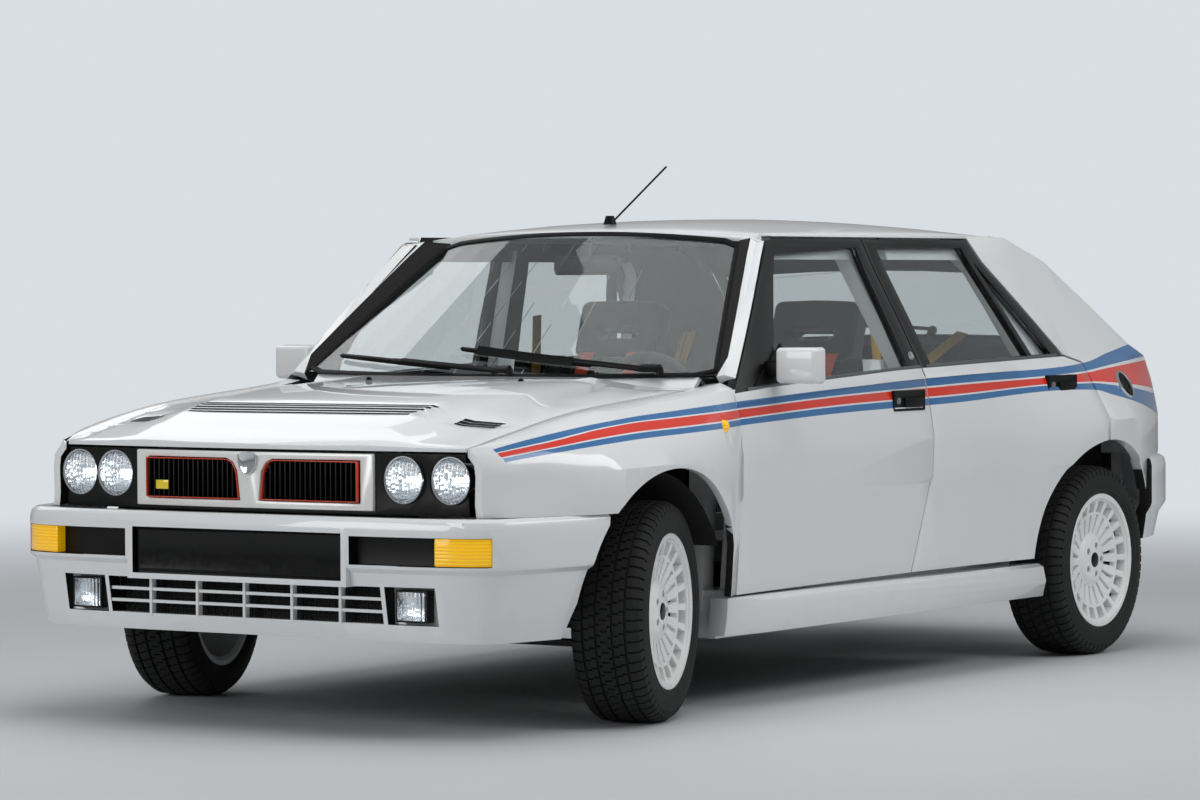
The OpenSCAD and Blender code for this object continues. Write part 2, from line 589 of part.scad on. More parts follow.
// Black panel that carries the four headlamps, and the grille set into its middle
panel_half = half_w - 217;
panel_z = [bumper_top_z + 2, waist_z - 145];
lamp_z = 660;
lamp_x = [478, 615];
lamp_r = 62;
grille_half = 392;
function panel_y(x) = nose_y + 70 + 50 * pow(x / panel_half, 2);
function front_sheet(d) = [for (z = [panel_z[0] - 10, panel_z[1] + 10])
    [for (t = steps(-1, 1, 14)) [t * (panel_half + 10), panel_y(t * panel_half) + d, z]]];
module front_slab(d0, d1) {
    shell(front_sheet(d0), front_sheet(d1));
}
module facing(y0 = nose_y - 20, y1 = nose_y + 200) {
    translate([0, y1, 0]) rotate([90, 0, 0]) linear_extrude(y1 - y0) children();
}
module headlamp_panel() {
    color("black") difference() {
        intersection() {
            front_slab(0, 44);
            facing() polygon([[-panel_half, panel_z[0]], [panel_half, panel_z[0]],
                [panel_half - 12, panel_z[1]], [-panel_half + 12, panel_z[1]]]);
        }
        for (side = [-1, 1], x = lamp_x) translate([side * x, nose_y, lamp_z]) rotate([-90, 0, 0])
            cylinder(r = lamp_r + seat_gap, h = 300);
        intersection() {
            front_slab(-20, 25 + seat_gap);
            translate([-grille_half - seat_gap, nose_y, 578]) cube([2 * (grille_half + seat_gap), 200, 148]);
        }
    }
}
module grille_frame() {
    color("silver") intersection() {
        front_slab(-9, 25);
        difference() {
            facing() translate([-grille_half, 578 + seat_gap]) square([2 * grille_half, 148 - 2 * seat_gap]);
            facing() for (side = [-1, 1]) scale([side, 1]) polygon([[30, 598], [352, 598], [352, 708], [76, 708],
                [54, 698], [40, 676]]);
        }
    }
}
module headlamps() {
    color("white") for (side = [-1, 1], x = lamp_x)
        translate([side * x, panel_y(x) - 3, lamp_z]) rotate([-90, 0, 0])
            rotate_extrude() polygon([[0, -8], [30, -6], [52, -2], [lamp_r, 3], [lamp_r, 44], [40, 74], [0, 74]]);
}

// Skirts along the sills
module side_skirts() {
    y0 = front_axle_y + 300;
    y1 = rear_axle_y - 300;
    inner = half_w - 145 + seat_gap;
    color("white") both() difference() {
        intersection() {
            translate([0, y0, 0]) rotate([90, 0, 180]) mirror([1, 0, 0]) linear_extrude(y1 - y0)
                polygon([[inner, 200], [half_w - 50, 204], [half_w - 34, 252], [half_w - 42, 294],
                    [half_w - 60, door_bottom_z - panel_gap], [inner, door_bottom_z - panel_gap]]);
            translate([0, 0, 150]) linear_extrude(200) polygon([[inner - 1, y0 - 1], [half_w - 120, y0 - 1],
                [half_w - 90, front_axle_y + 372], [half_w - 33, front_axle_y + 520], [half_w - 33, y1 + 1],
                [inner - 1, y1 + 1]]);
        }
        arch(front_axle_y, front_arch_r);
        arch(rear_axle_y, rear_arch_r);
    }
}

module rear_bumper() {
    color("white") difference() {
        rear_band();
        both() arch(rear_axle_y, rear_arch_r, 560);
    }
}
module rear_band() {
    w = wrap(rear_path);
    rows = [[rear_bumper_low_z, 40], [420, 22], [445, 4], [455, 0], [575, 0], [594, 5], [rear_bumper_top_z, 18]];
    function at(r, d) = [for (i = [0:len(w) - 1]) let (q = inset(w, i, r[1] + d)) [q[0], tail_y - q[1], r[0]]];
    shell([for (r = rows) at(r, 42)], [for (r = rows) at(r, 0)]);
}

// Tailgate: rows down its middle, as [y, height at the side, height in the middle, half width]
gate = [[roof_rear_y + panel_gap, 1296, 1322, 574], [rear_axle_y - 100, 1262, 1286, 574],
    [rear_axle_y + 20, 1214, 1238, 580], [rear_axle_y + 210, 1090, 1112, 630], [rear_axle_y + 398, 962, 984, 676],
    [rear_axle_y + 505, 915, 934, 680], [rear_axle_y + 560, 876, 884, 668], [tail_y - 62, 760, 760, 660],
    [tail_y - 56, 640, 640, 660]];
lamp_in_x = 470;
function gate_at(k, t, d) =
    let (r = gate[k], a = gate[max(k - 1, 0)], b = gate[min(k + 1, len(gate) - 1)],
        u = [b[0] - a[0], b[1] - a[1]] / norm([b[0] - a[0], b[1] - a[1]]))
    [t * (r[3] - (885 - half_w)), r[0] + 12 * (1 - t * t) * (k > 5 ? 1 : 0) + u[1] * d,
        r[1] + roof_up + (r[2] - r[1]) * (1 - t * t) - u[0] * d];
gate_ts = [-1, -0.85, -0.68, -0.34, 0, 0.34, 0.68, 0.85, 1];
module gate_slab(d0, d1) {
    shell([for (k = [0:len(gate) - 1]) [for (t = gate_ts) gate_at(k, t, d0)]],
        [for (k = [0:len(gate) - 1]) [for (t = gate_ts) gate_at(k, t, d1)]]);
}
window_y = [rear_axle_y + 30, rear_axle_y + 400];
module window_shape(by) {
    polygon([[-545 + by, window_y[0] + by], [545 - by, window_y[0] + by], [612 - by, window_y[1] - by],
        [-612 + by, window_y[1] - by]]);
}
module tailgate() {
    color("white") difference() {
        gate_slab(0, 30);
        translate([0, 0, 940]) linear_extrude(500) window_shape(0);
        for (side = [-1, 1]) translate([side * (lamp_in_x + 200), tail_y - 60, 744]) cube([400, 300, 272], center = true);
    }
}
module rear_window() {
    color("lightblue", 0.4) intersection() {
        gate_slab(8, 8 + glass_t);
        translate([0, 0, 900]) linear_extrude(500) window_shape(seat_gap);
    }
}
module roof_spoiler() {
    function top(k, t) = gate_at(min(k, 2), t, -seat_gap) + [0, k == 0 ? 10 : k == 3 ? 30 : 0, [4, 22, 28, 10][k]];
    function low(k, t) = gate_at(min(k, 2), t, -seat_gap) + [0, k == 0 ? 10 : k == 3 ? 30 : 0, [0, 0, 0, 4][k]];
    color("white") shell([for (k = [0:3]) [for (t = gate_ts) top(k, t)]],
        [for (k = [0:3]) [for (t = gate_ts) low(k, t)]]);
}

// Fixed panel under the tailgate, which carries the tail lamps
module rear_panel() {
    color("white") {
        translate([-620, tail_y - 90, 440]) cube([1240, 12, 188]);
        both() translate([380, tail_y - 80, 480]) cube([60, 35 - seat_gap, 60]);
        both() translate([lamp_in_x + panel_gap + 4, tail_y - 150, 606]) cube([210, 86, 22]);
        both() translate([lamp_in_x + panel_gap + 4, tail_y - 150, 606]) cube([210, 20, 268]);
    }
}
module tail_lamps() {
    color("red") both() across([[tail_y - 130 + seat_gap, 700], [tail_y - 57, 700], [tail_y - 62, 760],
        [tail_y - 94, 866], [tail_y - 130 + seat_gap, 866]], lamp_in_x + panel_gap, half_w - 176);
}

// Floor, chassis rails and the bulkhead in front of the cabin
floor_z = 200;
floor_t = 18;
floor_half = half_w - door_t - 165 - seat_gap;
boot_z = 420;
module floor_pan() {
    color("dimgray") {
        translate([-floor_half, dash_y - 190, floor_z]) cube([2 * floor_half, rear_axle_y - 420 - dash_y + 190, floor_t]);
        // bulkhead, up to the scuttle
        translate([-floor_half + 20, dash_y - 190, floor_z + 9]) cube([2 * floor_half - 40, 20, waist_z - floor_z - 54]);
        translate([-floor_half + 48, screen_low_y - 40, waist_z - 59]) cube([2 * floor_half - 96, dash_y - 180 - screen_low_y + 40, 14]);
        // jacking pads under the sills
        both() for (y = [front_axle_y + 560, rear_axle_y - 620])
            translate([floor_half - 60, y, floor_z - 16]) cube([60, 120, 20]);
    }
}

// Chassis rails and inner wings beside the engine, the beam behind the bumper, and the bonnet's buffers
module front_frame() {
    rail_y = panel_y(408) + 44 + seat_gap;
    rail_end = dash_y - 190 - seat_gap;
    color("dimgray") {
        both() translate([392, rail_y, 330]) cube([56, rail_end - rail_y, 90]);
        both() across([[rail_y, 410], [rail_end, 410], [rail_end, waist_z - 70], [front_axle_y, waist_z - 90],
            [nose_y + 300, waist_z - 130], [rail_y, waist_z - 160]], 392, 410);
        both() translate([392, front_axle_y - 60, waist_z - 108]) cube([220, 120, 18]);
        translate([-640, nose_y + 110, 430]) cube([1280, rail_y - nose_y - 106, 100]);
        both() translate([380, nose_y + 50 + seat_gap, 460]) cube([56, 70, 44]);
        intersection() {
            shell(bonnet_grid(skin_t + seat_gap), bonnet_grid(160));
            both() translate([401, nose_y + 310, 500]) cylinder(r = 9, h = 500);
        }
    }
}

// Boot floor on its step behind the rear seat, with its sides, its back and the shelf over it
module boot_liner() {
    step_z = floor_z + floor_t + seat_gap;
    color("dimgray") {
        translate([-floor_half + 60, rear_axle_y - 450, boot_z]) cube([2 * floor_half - 120, tail_y - rear_axle_y + 360, floor_t]);
        translate([-floor_half + 60, rear_axle_y - 450, step_z]) cube([2 * floor_half - 120, 14, boot_z + 9 - step_z]);
        both() translate([floor_half - 80, rear_axle_y - 340, boot_z + 9]) cube([14, tail_y - rear_axle_y + 180, waist_z - boot_z - 34]);
        translate([-floor_half + 66, tail_y - 104 - seat_gap, boot_z + 9]) cube([2 * floor_half - 132, 14, 600 - seat_gap - boot_z - 9]);
        translate([-floor_half + 75, rear_axle_y - 200, waist_z - 37]) cube([2 * floor_half - 150, 460, 12]);
    }
}
module engine_block() {
    color("gray") translate([-290, front_axle_y - 250, 246 + seat_gap]) cube([580, 440, 450]);
}
dash_half = half_w - door_t - 195;
module dashboard() {
    color("dimgray") {
        translate([-dash_half, dash_y - 169.7, 0]) rotate([90, 0, 90]) linear_extrude(2 * dash_half) polygon([
            [0, 560], [90, 560], [150, 700], [210, 740], [205, 822], [120, 846], [0, 812]]);
        // instrument hood and steering column
        translate([240, dash_y - 40, 838]) cube([250, 76, 44]);
        translate([steering_x, steering_y, steering_z]) rotate([column_deg, 0, 0])
            translate([0, 0, -140]) cylinder(r = 26, h = 140 - 22 - seat_gap);
    }
}

// Steering wheel on its raked column
steering_x = 350;
steering_y = dash_y + 150;
steering_z = 800;
column_deg = -62;
module steering_wheel() {
    r = steering_d / 2;
    color("black") translate([steering_x, steering_y, steering_z]) rotate([column_deg, 0, 0]) {
        rotate_extrude() translate([r - 15, 0]) circle(r = 15, $fn = 24);
        for (a = [0, 180, 270]) rotate([0, 0, a]) translate([20, -14, -15]) cube([r - 34, 28, 6]);
        translate([0, 0, -22]) cylinder(r = 42, h = 24);
    }
}

// Front seats: buckets on runners
seat_x = 350;
seat_y = b_post_y - 560;
seat_floor_z = floor_z + floor_t;
module bucket_seat() {
    base_z = seat_floor_z + seat_h - 60;
    translate([-seat_w / 2, 0, base_z]) {
        translate([30, 0, 0]) cube([seat_w - 60, 480, 90]);
        for (side = [0, seat_w - 62]) translate([side, 30, 30]) cube([62, 430, 110]);
    }
    translate([-seat_w / 2, 440, base_z + 60]) rotate([-17, 0, 0]) {
        translate([40, 0, 0]) cube([seat_w - 80, 90, 560]);
        for (side = [0, seat_w - 70]) translate([side, -50, 60]) cube([70, 130, 440]);
        translate([130, 5, 540]) cube([seat_w - 260, 80, 190]);
    }
    for (side = [-1, 1]) translate([side * 170 - 15, 30, seat_floor_z]) cube([30, 400, seat_h - 59]);
}
module front_seats() {
    color("dimgray") both() translate([seat_x, seat_y, 0]) bucket_seat();
}
module rear_seat() {
    color("dimgray") {
        translate([-560, rear_axle_y - 900, seat_floor_z + seat_gap]) cube([1120, 449, 200]);
        translate([-560, rear_axle_y - 600, seat_floor_z + 170]) rotate([-18, 0, 0]) cube([1120, 110, 500]);
    }
}

// Wiper arms and blades, parked along the foot of the windscreen
wiper_reach = 690;
module wipers() {
    color("black") for (w = [[100, 0.10], [560, 0.16]]) {
        p = screen(w[0] / (half_w - 178), 0, 5 - seat_gap);
        // places along the screen, from the pivot to the blade's tip
        bend = [for (i = [1:5]) let (s = w[1] * i / 5, x = w[0] - wiper_reach * i / 5)
            screen(x / (half_w - 178 + s * (screen_top_x - half_w + 178)), s, -9)];
        translate([p[0], p[1] - 14, p[2] - 6.6]) cylinder(r = 9, h = 20);
        hull() {
            translate([p[0], p[1] - 14, p[2] + 12]) sphere(r = 7, $fn = 16);
            translate(bend[0]) sphere(r = 6, $fn = 16);
        }
        for (i = [0:3]) hull() for (q = [bend[i], bend[i + 1]]) translate(q) sphere(r = 6, $fn = 16);
    }
}
module aerial() {
    y = roof_front_y + 140;
    color("black") translate([0, y, roof_height(0, y + 20) + seat_gap]) {
        cylinder(r1 = 20, r2 = 12, h = 26);
        rotate([-60, 0, 0]) translate([0, 0, 10]) cylinder(r = 3, h = 340);
    }
}

// Mirrors on the front doors
module door_mirror() {
    y = door_front_y + 215;
    x = glass_x(y, waist_z + 40);
    color("white") {
        translate([x + 40, y - 42, waist_z + 8]) cube([126, 62, 102]);
        translate([glass_x(y, waist_z + 30) - 2 + seat_gap, y - 30, waist_z + 30]) cube([60, 40, 50]);
    }
}

// Wheel carriers: knuckle, hub and brake disc, turned about the steering axis
module hub_stub() {
    rotate([0, 90, 0]) {
        translate([0, 0, -30]) cylinder(r = 34, h = hub_out - seat_gap);
        translate([0, 0, 10]) cylinder(r = 128, h = 16);
        translate([0, 0, -30]) cylinder(r = hub_bore / 2 - seat_gap, h = hub_out + 34);
    }
}
// Height of the ball joints over and under the wheel centre
joint_z = 84;
module steered(side) {
    turn = side > 0 ? steer_left_deg : steer_right_deg;
    translate([side * (track / 2 - steer_offset), front_axle_y, axle_z]) rotate([0, 0, turn])
        translate([side * steer_offset, 0, 0]) children();
}
module front_knuckle(side) {
    color("gray") steered(side) rotate([0, 0, side < 0 ? 180 : 0]) {
        hub_stub();
        translate([-steer_offset, 0, -joint_z]) cylinder(r = 17, h = 2 * joint_z);
    }
}
module front_suspension() {
    pivot = track / 2 - steer_offset;
    strut_x = pivot - 155;
    color("dimgray") {
        translate([-391, front_axle_y - 60, 196]) cube([782, 120, 50]);
        both() {
            // lower arm, upper link and strut
            translate([370, front_axle_y - 28, axle_z - joint_z - seat_gap - 16]) cube([pivot - 370, 56, 16]);
            translate([pivot, front_axle_y, axle_z - joint_z - seat_gap - 16]) cylinder(r = 18, h = 16);
            translate([strut_x, front_axle_y - 16, axle_z + joint_z + seat_gap]) cube([pivot - strut_x, 32, 16]);
            translate([pivot, front_axle_y, axle_z + joint_z + seat_gap]) cylinder(r = 16, h = 16);
            translate([strut_x, front_axle_y, axle_z - joint_z - 10]) cylinder(r = 24, h = waist_z - 108 - seat_gap - axle_z + joint_z + 10);
        }
    }
}
module rear_axle() {
    color("dimgray") {
        translate([track / 2, rear_axle_y, axle_z]) hub_stub();
        translate([-track / 2, rear_axle_y, axle_z]) rotate([0, 0, 180]) hub_stub();
        translate([-track / 2 + 10, rear_axle_y, axle_z]) rotate([0, 90, 0]) cylinder(r = 26, h = track - 20);
        translate([-130, rear_axle_y - 120, axle_z - 80]) cube([260, 240, 150]);
        // struts up to the boot floor
        both() translate([floor_half - 100, rear_axle_y, axle_z]) cylinder(r = 24, h = boot_z - axle_z - seat_gap);
    }
}
module exhaust() {
    color("silver") {
        translate([-330, dash_y, floor_z - 26 - seat_gap]) rotate([-90, 0, 0]) cylinder(r = 26, h = tail_y - dash_y - 320);
        translate([-330, tail_y - 330, floor_z - 26 - seat_gap]) rotate([-90, 0, 0]) cylinder(r = 34.7, h = 330);
    }
}

// Rim and tyre, about the wheel's middle plane, with the outer face towards +X
module rim_shape() {
    r = rim_d / 2;
    w = rim_w / 2;
    f = hub_out;
    rotate([0, 90, 0]) difference() {
        rotate_extrude($fn = 96) polygon([[r - 9, -w + 6], [r - 9, -w], [r + rim_lip, -w], [r + rim_lip, -w + 7],
            [r, -w + 9], [r, w - 9], [r + rim_lip, w - 7], [r + rim_lip, w], [r - 6, w], [r - 12, w - 12],
            [110, f - 2], [62, f + 8], [hub_bore / 2, f + 10], [hub_bore / 2, f - 30], [62, f - 30], [100, f - 14],
            [r - 18, f - 4], [r - 12, f - 20], [r - 10, -w + 10]]);
    }
}
module tyre_shape() {
    r = tyre_d / 2;
    b = rim_d / 2 + seat_gap;
    w = tyre_w / 2;
    bw = rim_w / 2 - 9 - seat_gap;
    rotate([0, 90, 0]) rotate_extrude($fn = 96) polygon([[b, -bw], [b + rim_lip + 4, -bw - 1.5], [b + 50, -w],
        [r - 40, -w + 2], [r - 14, -w + 10], [r - 3, -w + 26], [r, -w + 50], [r, w - 50], [r - 3, w - 26],
        [r - 14, w - 10], [r - 40, w - 2], [b + 50, w], [b + rim_lip + 4, bw + 1.5], [b, bw],
        [b, bw - 12], [b + 14, bw - 14], [r - 34, w - 24], [r - 14, w - 50], [r - 14, -w + 50], [r - 34, -w + 24],
        [b + 14, -bw + 14], [b, -bw + 12]]);
}
module at_front(side) {
    steered(side) rotate([0, 0, side < 0 ? 180 : 0]) children();
}
module at_rear(side) {
    translate([side * track / 2, rear_axle_y, axle_z]) rotate([0, 0, side < 0 ? 180 : 0]) children();
}

floor_pan();
front_frame();
boot_liner();
engine_block();
body_sides();
roof_panel();
color("white") scuttle();  // scuttle_panel
front_wings();
headlamp_panel();
grille_frame();
headlamps();
front_bumper();
front_indicators();
fog_lamps();
side_skirts();
rear_bumper();
rear_panel();
tail_lamps();
windscreen();
dashboard();
front_seats();
rear_seat();
wipers();
aerial();
front_suspension();
rear_axle();
exhaust();
bonnet();
tailgate();
rear_window();
roof_spoiler();
color("white") front_door();  // front_door_left
color("white") mirror([1, 0, 0]) front_door();  // front_door_right
color("lightblue", 0.4) front_glass();  // front_glass_left
color("lightblue", 0.4) mirror([1, 0, 0]) front_glass();  // front_glass_right
door_mirror();  // door_mirror_left
mirror([1, 0, 0]) door_mirror();  // door_mirror_right
color("white") rear_door();  // rear_door_left
color("white") mirror([1, 0, 0]) rear_door();  // rear_door_right
color("lightblue", 0.4) rear_glass();  // rear_glass_left
color("lightblue", 0.4) mirror([1, 0, 0]) rear_glass();  // rear_glass_right
steering_wheel();
front_knuckle(1);  // front_knuckle_left
front_knuckle(-1);  // front_knuckle_right
color("white") at_front(1) rim_shape();  // rim_front_left
color("white") at_front(-1) rim_shape();  // rim_front_right
color("white") at_rear(1) rim_shape();  // rim_rear_left
color("white") at_rear(-1) rim_shape();  // rim_rear_right
color("dimgray") at_front(1) tyre_shape();  // tyre_front_left
color("dimgray") at_front(-1) tyre_shape();  // tyre_front_right
color("dimgray") at_rear(1) tyre_shape();  // tyre_rear_left
color("dimgray") at_rear(-1) tyre_shape();  // tyre_rear_right
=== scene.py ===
import math
import bpy
from mathutils import Matrix, Vector
from mathutils.bvhtree import BVHTree


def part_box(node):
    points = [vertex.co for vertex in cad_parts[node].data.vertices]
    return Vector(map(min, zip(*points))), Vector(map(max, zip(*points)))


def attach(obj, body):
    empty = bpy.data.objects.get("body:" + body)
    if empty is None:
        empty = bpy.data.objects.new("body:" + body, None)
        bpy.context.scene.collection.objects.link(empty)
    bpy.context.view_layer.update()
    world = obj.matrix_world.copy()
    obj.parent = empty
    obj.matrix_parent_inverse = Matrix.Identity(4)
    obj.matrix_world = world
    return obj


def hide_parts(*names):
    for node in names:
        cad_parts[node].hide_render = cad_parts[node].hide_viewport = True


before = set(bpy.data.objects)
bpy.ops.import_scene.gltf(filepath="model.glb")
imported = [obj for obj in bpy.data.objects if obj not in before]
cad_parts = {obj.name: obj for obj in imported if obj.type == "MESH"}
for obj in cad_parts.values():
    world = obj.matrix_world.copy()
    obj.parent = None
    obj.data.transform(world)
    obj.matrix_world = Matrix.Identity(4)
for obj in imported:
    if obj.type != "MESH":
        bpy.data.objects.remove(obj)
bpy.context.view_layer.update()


# ---- Camera ----
# A long lens a little over a metre up, ahead of the car and to its left,
# looking slightly down and turned a hair out of level.
def in_scene(name, data):
    """A new object in the scene, made of a mesh, a curve, a lamp or a camera."""
    made = bpy.data.objects.new(name, data)
    bpy.context.scene.collection.objects.link(made)
    return made


camera_azimuth = math.radians(33.92)
camera_elevation = math.radians(1.52)
camera_roll = math.radians(-0.30)

camera_data = bpy.data.cameras.new("camera")
camera_data.lens = 130.1
camera_data.sensor_width = 36.0
camera = in_scene("camera", camera_data)
back = Vector((math.sin(camera_azimuth) * math.cos(camera_elevation),
    -math.cos(camera_azimuth) * math.cos(camera_elevation), math.sin(camera_elevation)))
level = Vector((0, 0, 1)).cross(back).normalized()
upright = back.cross(level)
across = math.cos(camera_roll) * level + math.sin(camera_roll) * upright
above = math.cos(camera_roll) * upright - math.sin(camera_roll) * level
camera.matrix_world = Matrix((across, above, back)).transposed().to_4x4()
camera.location = (7.061, -10.746, 1.155)
bpy.context.scene.camera = camera


# ---- Colours and shader nodes ----
# Paints and plastics are given as sRGB hex codes, and each
# finish below is a small tree of nodes behind one surface shader.
def colour(code):
    parts = [int(code[i:i + 2], 16) / 255 for i in (1, 3, 5)]
    return [p / 12.92 if p <= 0.04045 else ((p + 0.055) / 1.055) ** 2.4 for p in parts] + [1.0]


def add_node(tree, kind, settings={}, feeds={}):
    """One shader node, with its settings, and each input fed by a value or another node's output."""
    node = tree.nodes.new(kind)
    for name, value in settings.items():
        setattr(node, name, value)
    for name, value in feeds.items():
        if isinstance(value, bpy.types.NodeSocket):
            tree.links.new(value, node.inputs[name])
        else:
            node.inputs[name].default_value = value
    return node


def new_finish(name, **surface):
    """A finish with its surface shader and the piece's own coordinates."""
    finish = bpy.data.materials.new(name)
    finish.use_nodes = True
    tree = finish.node_tree
    shader = tree.nodes["Principled BSDF"]
    for socket, value in surface.items():
        shader.inputs[socket.replace("_", " ")].default_value = value
    place = add_node(tree, "ShaderNodeTexCoord")
    return finish, tree, shader, place


def raise_surface(tree, shader, height, depth, strength=1.0, socket="Normal"):
    """Makes a pattern stand out of the surface by a depth in metres."""
    bump = add_node(tree, "ShaderNodeBump", {}, {"Height": height, "Distance": depth,
        "Strength": strength})
    tree.links.new(bump.outputs[0], shader.inputs[socket])


def add_grain(tree, shader, place, size, depth, rough, detail=2.0):
    """Raised grain of a real size in metres, which also moves the roughness between two values."""
    grain = add_node(tree, "ShaderNodeTexNoise", {}, {
        "Vector": place.outputs["Object"], "Scale": 1 / size, "Detail": detail})
    raise_surface(tree, shader, grain.outputs[0], depth)
    spread = add_node(tree, "ShaderNodeMapRange", {}, {
        "Value": grain.outputs[0], "From Min": 0.3, "From Max": 0.7, "To Min": rough[0], "To Max": rough[1]})
    tree.links.new(spread.outputs[0], shader.inputs["Roughness"])
    return grain


# ---- Floor, backdrop and lamps ----
# A pale studio floor that melts into the backdrop a few metres behind the car,
# under a broad soft box overhead and three weaker ones around it.
backdrop_grey = colour("#D9DEE3")
stage_finish, tree, shader, place = new_finish("matte studio floor", Base_Color=colour("#C6C8CA"),
    Roughness=0.62)
add_grain(tree, shader, place, 0.004, 0.0003, (0.55, 0.68))
away = add_node(tree, "ShaderNodeVectorMath", {"operation": "LENGTH"}, {0: place.outputs["Object"]})
fade = add_node(tree, "ShaderNodeMapRange", {"interpolation_type": "SMOOTHSTEP"}, {
    "Value": away.outputs["Value"], "From Min": 3.0, "From Max": 10.0})
path = add_node(tree, "ShaderNodeLightPath")
seen = add_node(tree, "ShaderNodeMath", {"operation": "MULTIPLY"},
                {0: fade.outputs[0], 1: path.outputs["Is Camera Ray"]})
pale = add_node(tree, "ShaderNodeEmission", {}, {"Color": backdrop_grey, "Strength": 1.0})
melt = add_node(tree, "ShaderNodeMixShader", {}, {
    0: seen.outputs[0], 1: shader.outputs[0], 2: pale.outputs[0]})
tree.links.new(melt.outputs[0], tree.nodes["Material Output"].inputs["Surface"])
bpy.ops.object.select_all(action="DESELECT")
bpy.ops.mesh.primitive_plane_add(size=60, location=(0, 0, 0))
floor = bpy.context.object
floor.name = "studio_floor"
floor.data.materials.append(stage_finish)

world = bpy.data.worlds.new("studio air")
bpy.context.scene.world = world
world.use_nodes = True
tree = world.node_tree
tree.nodes.clear()
path = add_node(tree, "ShaderNodeLightPath")
fill = add_node(tree, "ShaderNodeBackground", {}, {"Color": colour("#F4F7FA"), "Strength": 0.30})
backdrop = add_node(tree, "ShaderNodeBackground", {}, {"Color": backdrop_grey, "Strength": 1.0})
glossy = add_node(tree, "ShaderNodeMath", {"operation": "MAXIMUM"}, {
    0: path.outputs["Is Camera Ray"], 1: path.outputs["Is Transmission Ray"]})
choose = add_node(tree, "ShaderNodeMixShader", {}, {
    0: glossy.outputs[0], 1: fill.outputs[0], 2: backdrop.outputs[0]})
add_node(tree, "ShaderNodeOutputWorld", {}, {"Surface": choose.outputs[0]})


def soft_box(name, place, target, width, height, power, mirrored=True):
    """A broad studio lamp that faces a point; one that isn't mirrored leaves no bright patch on glass."""
    lamp = bpy.data.lights.new(name, "AREA")
    lamp.shape = "RECTANGLE"
    lamp.size = width
    lamp.size_y = height
    lamp.energy = power
    holder = in_scene(name, lamp)
    holder.visible_glossy = mirrored
    holder.location = place
    holder.rotation_euler = (Vector(target) - Vector(place)).to_track_quat("-Z", "Y").to_euler()


soft_box("overhead_box", (0.5, -0.6, 4.6), (0, 0, 0.6), 3.4, 5.6, 140, False)
soft_box("far_side_box", (-6.2, 2.6, 5.4), (0, -0.4, 1.0), 4.8, 3.6, 60)
soft_box("front_box", (-2.0, -7.5, 2.6), (0, -1.0, 0.5), 4.0, 2.4, 115)
soft_box("side_box", (6.0, 1.2, 4.4), (0.6, 0.3, 0.6), 5.0, 2.0, 120)


# ---- Painted shell ----
# Pressed steel panels, welded or bolted together and sprayed white, then
# lacquered. Their edges are turned over, so every shut line has a small round.
def take_up(piece):
    """Selects one piece alone, so that the next operator acts on nothing else."""
    if bpy.context.mode != "OBJECT":
        bpy.ops.object.mode_set(mode="OBJECT")
    bpy.ops.object.select_all(action="DESELECT")
    piece.select_set(True)
    bpy.context.view_layer.objects.active = piece


def set_in_place(piece):
    """Applies a piece's modifiers and its place, so that it lies in the car's frame."""
    take_up(piece)
    if piece.type != "MESH":
        bpy.ops.object.convert(target="MESH")
        piece = bpy.context.object
    for modifier in list(piece.modifiers):
        bpy.ops.object.modifier_apply(modifier=modifier.name)
    bpy.ops.object.transform_apply(location=True, rotation=True, scale=True)
    return piece


def fit(piece, finish, body, slot, *stands_for):
    """Gives a finished piece its surface and its body; the slot is not used."""
    if finish:
        piece.data.materials.clear()
        piece.data.materials.append(finish)
    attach(piece, body)
    if stands_for:
        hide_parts(*stands_for)
    return piece


def soften(piece, edge, smooth=30, segments=2):
    """Rounds a piece's edges and shades it smooth up to an angle."""
    take_up(piece)
    if edge:
        bevel = piece.modifiers.new("turned edge", "BEVEL")
        bevel.width = edge
        bevel.segments = segments
        bevel.limit_method = "ANGLE"
        bevel.angle_limit = math.radians(32)
        bevel.use_clamp_overlap = True
        bevel.harden_normals = False
        bpy.ops.object.modifier_apply(modifier=bevel.name)
    bpy.ops.object.shade_smooth_by_angle(angle=math.radians(smooth))


def pressing(node, name, edge=0.002, smooth=30):
    """A merged copy of a pressed part, with its edges turned."""
    piece = in_scene(name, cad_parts[node].data.copy())
    piece.data.materials.clear()
    take_up(piece)
    bpy.ops.mesh.customdata_custom_splitnormals_clear()
    bpy.ops.object.mode_set(mode="EDIT")
    bpy.ops.mesh.select_all(action="SELECT")
    bpy.ops.mesh.remove_doubles(threshold=0.00002)
    bpy.ops.mesh.dissolve_limited(angle_limit=math.radians(0.4))
    bpy.ops.object.mode_set(mode="OBJECT")
    soften(piece, edge, smooth)
    return piece


# White two-coat paint: a flat white base under a clear lacquer, which gives
# sharp reflections over a surface with the faint ripple of sprayed paint.
def lacquered(name, code):
    finish, tree, shader, place = new_finish(name, Base_Color=colour(code), Roughness=0.34,
        Coat_Weight=1.0, Coat_Roughness=0.025, Coat_IOR=1.5)
    # the real ripple is about 3 mm long, drawn 12 mm long so that it shows
    ripple = add_node(tree, "ShaderNodeTexNoise", {}, {
        "Vector": place.outputs["Object"], "Scale": 1 / 0.012, "Detail": 1.0})
    raise_surface(tree, shader, ripple.outputs[0], 0.00002, socket="Coat Normal")
    return finish, tree, shader, place


def blend(tree, shader, share, first, second):
    """Colours a surface between two colours, by a share that runs from 0 to 1."""
    mix = add_node(tree, "ShaderNodeMix", {"data_type": "RGBA"}, {0: share, 6: first, 7: second})
    tree.links.new(mix.outputs[2], shader.inputs["Base Color"])


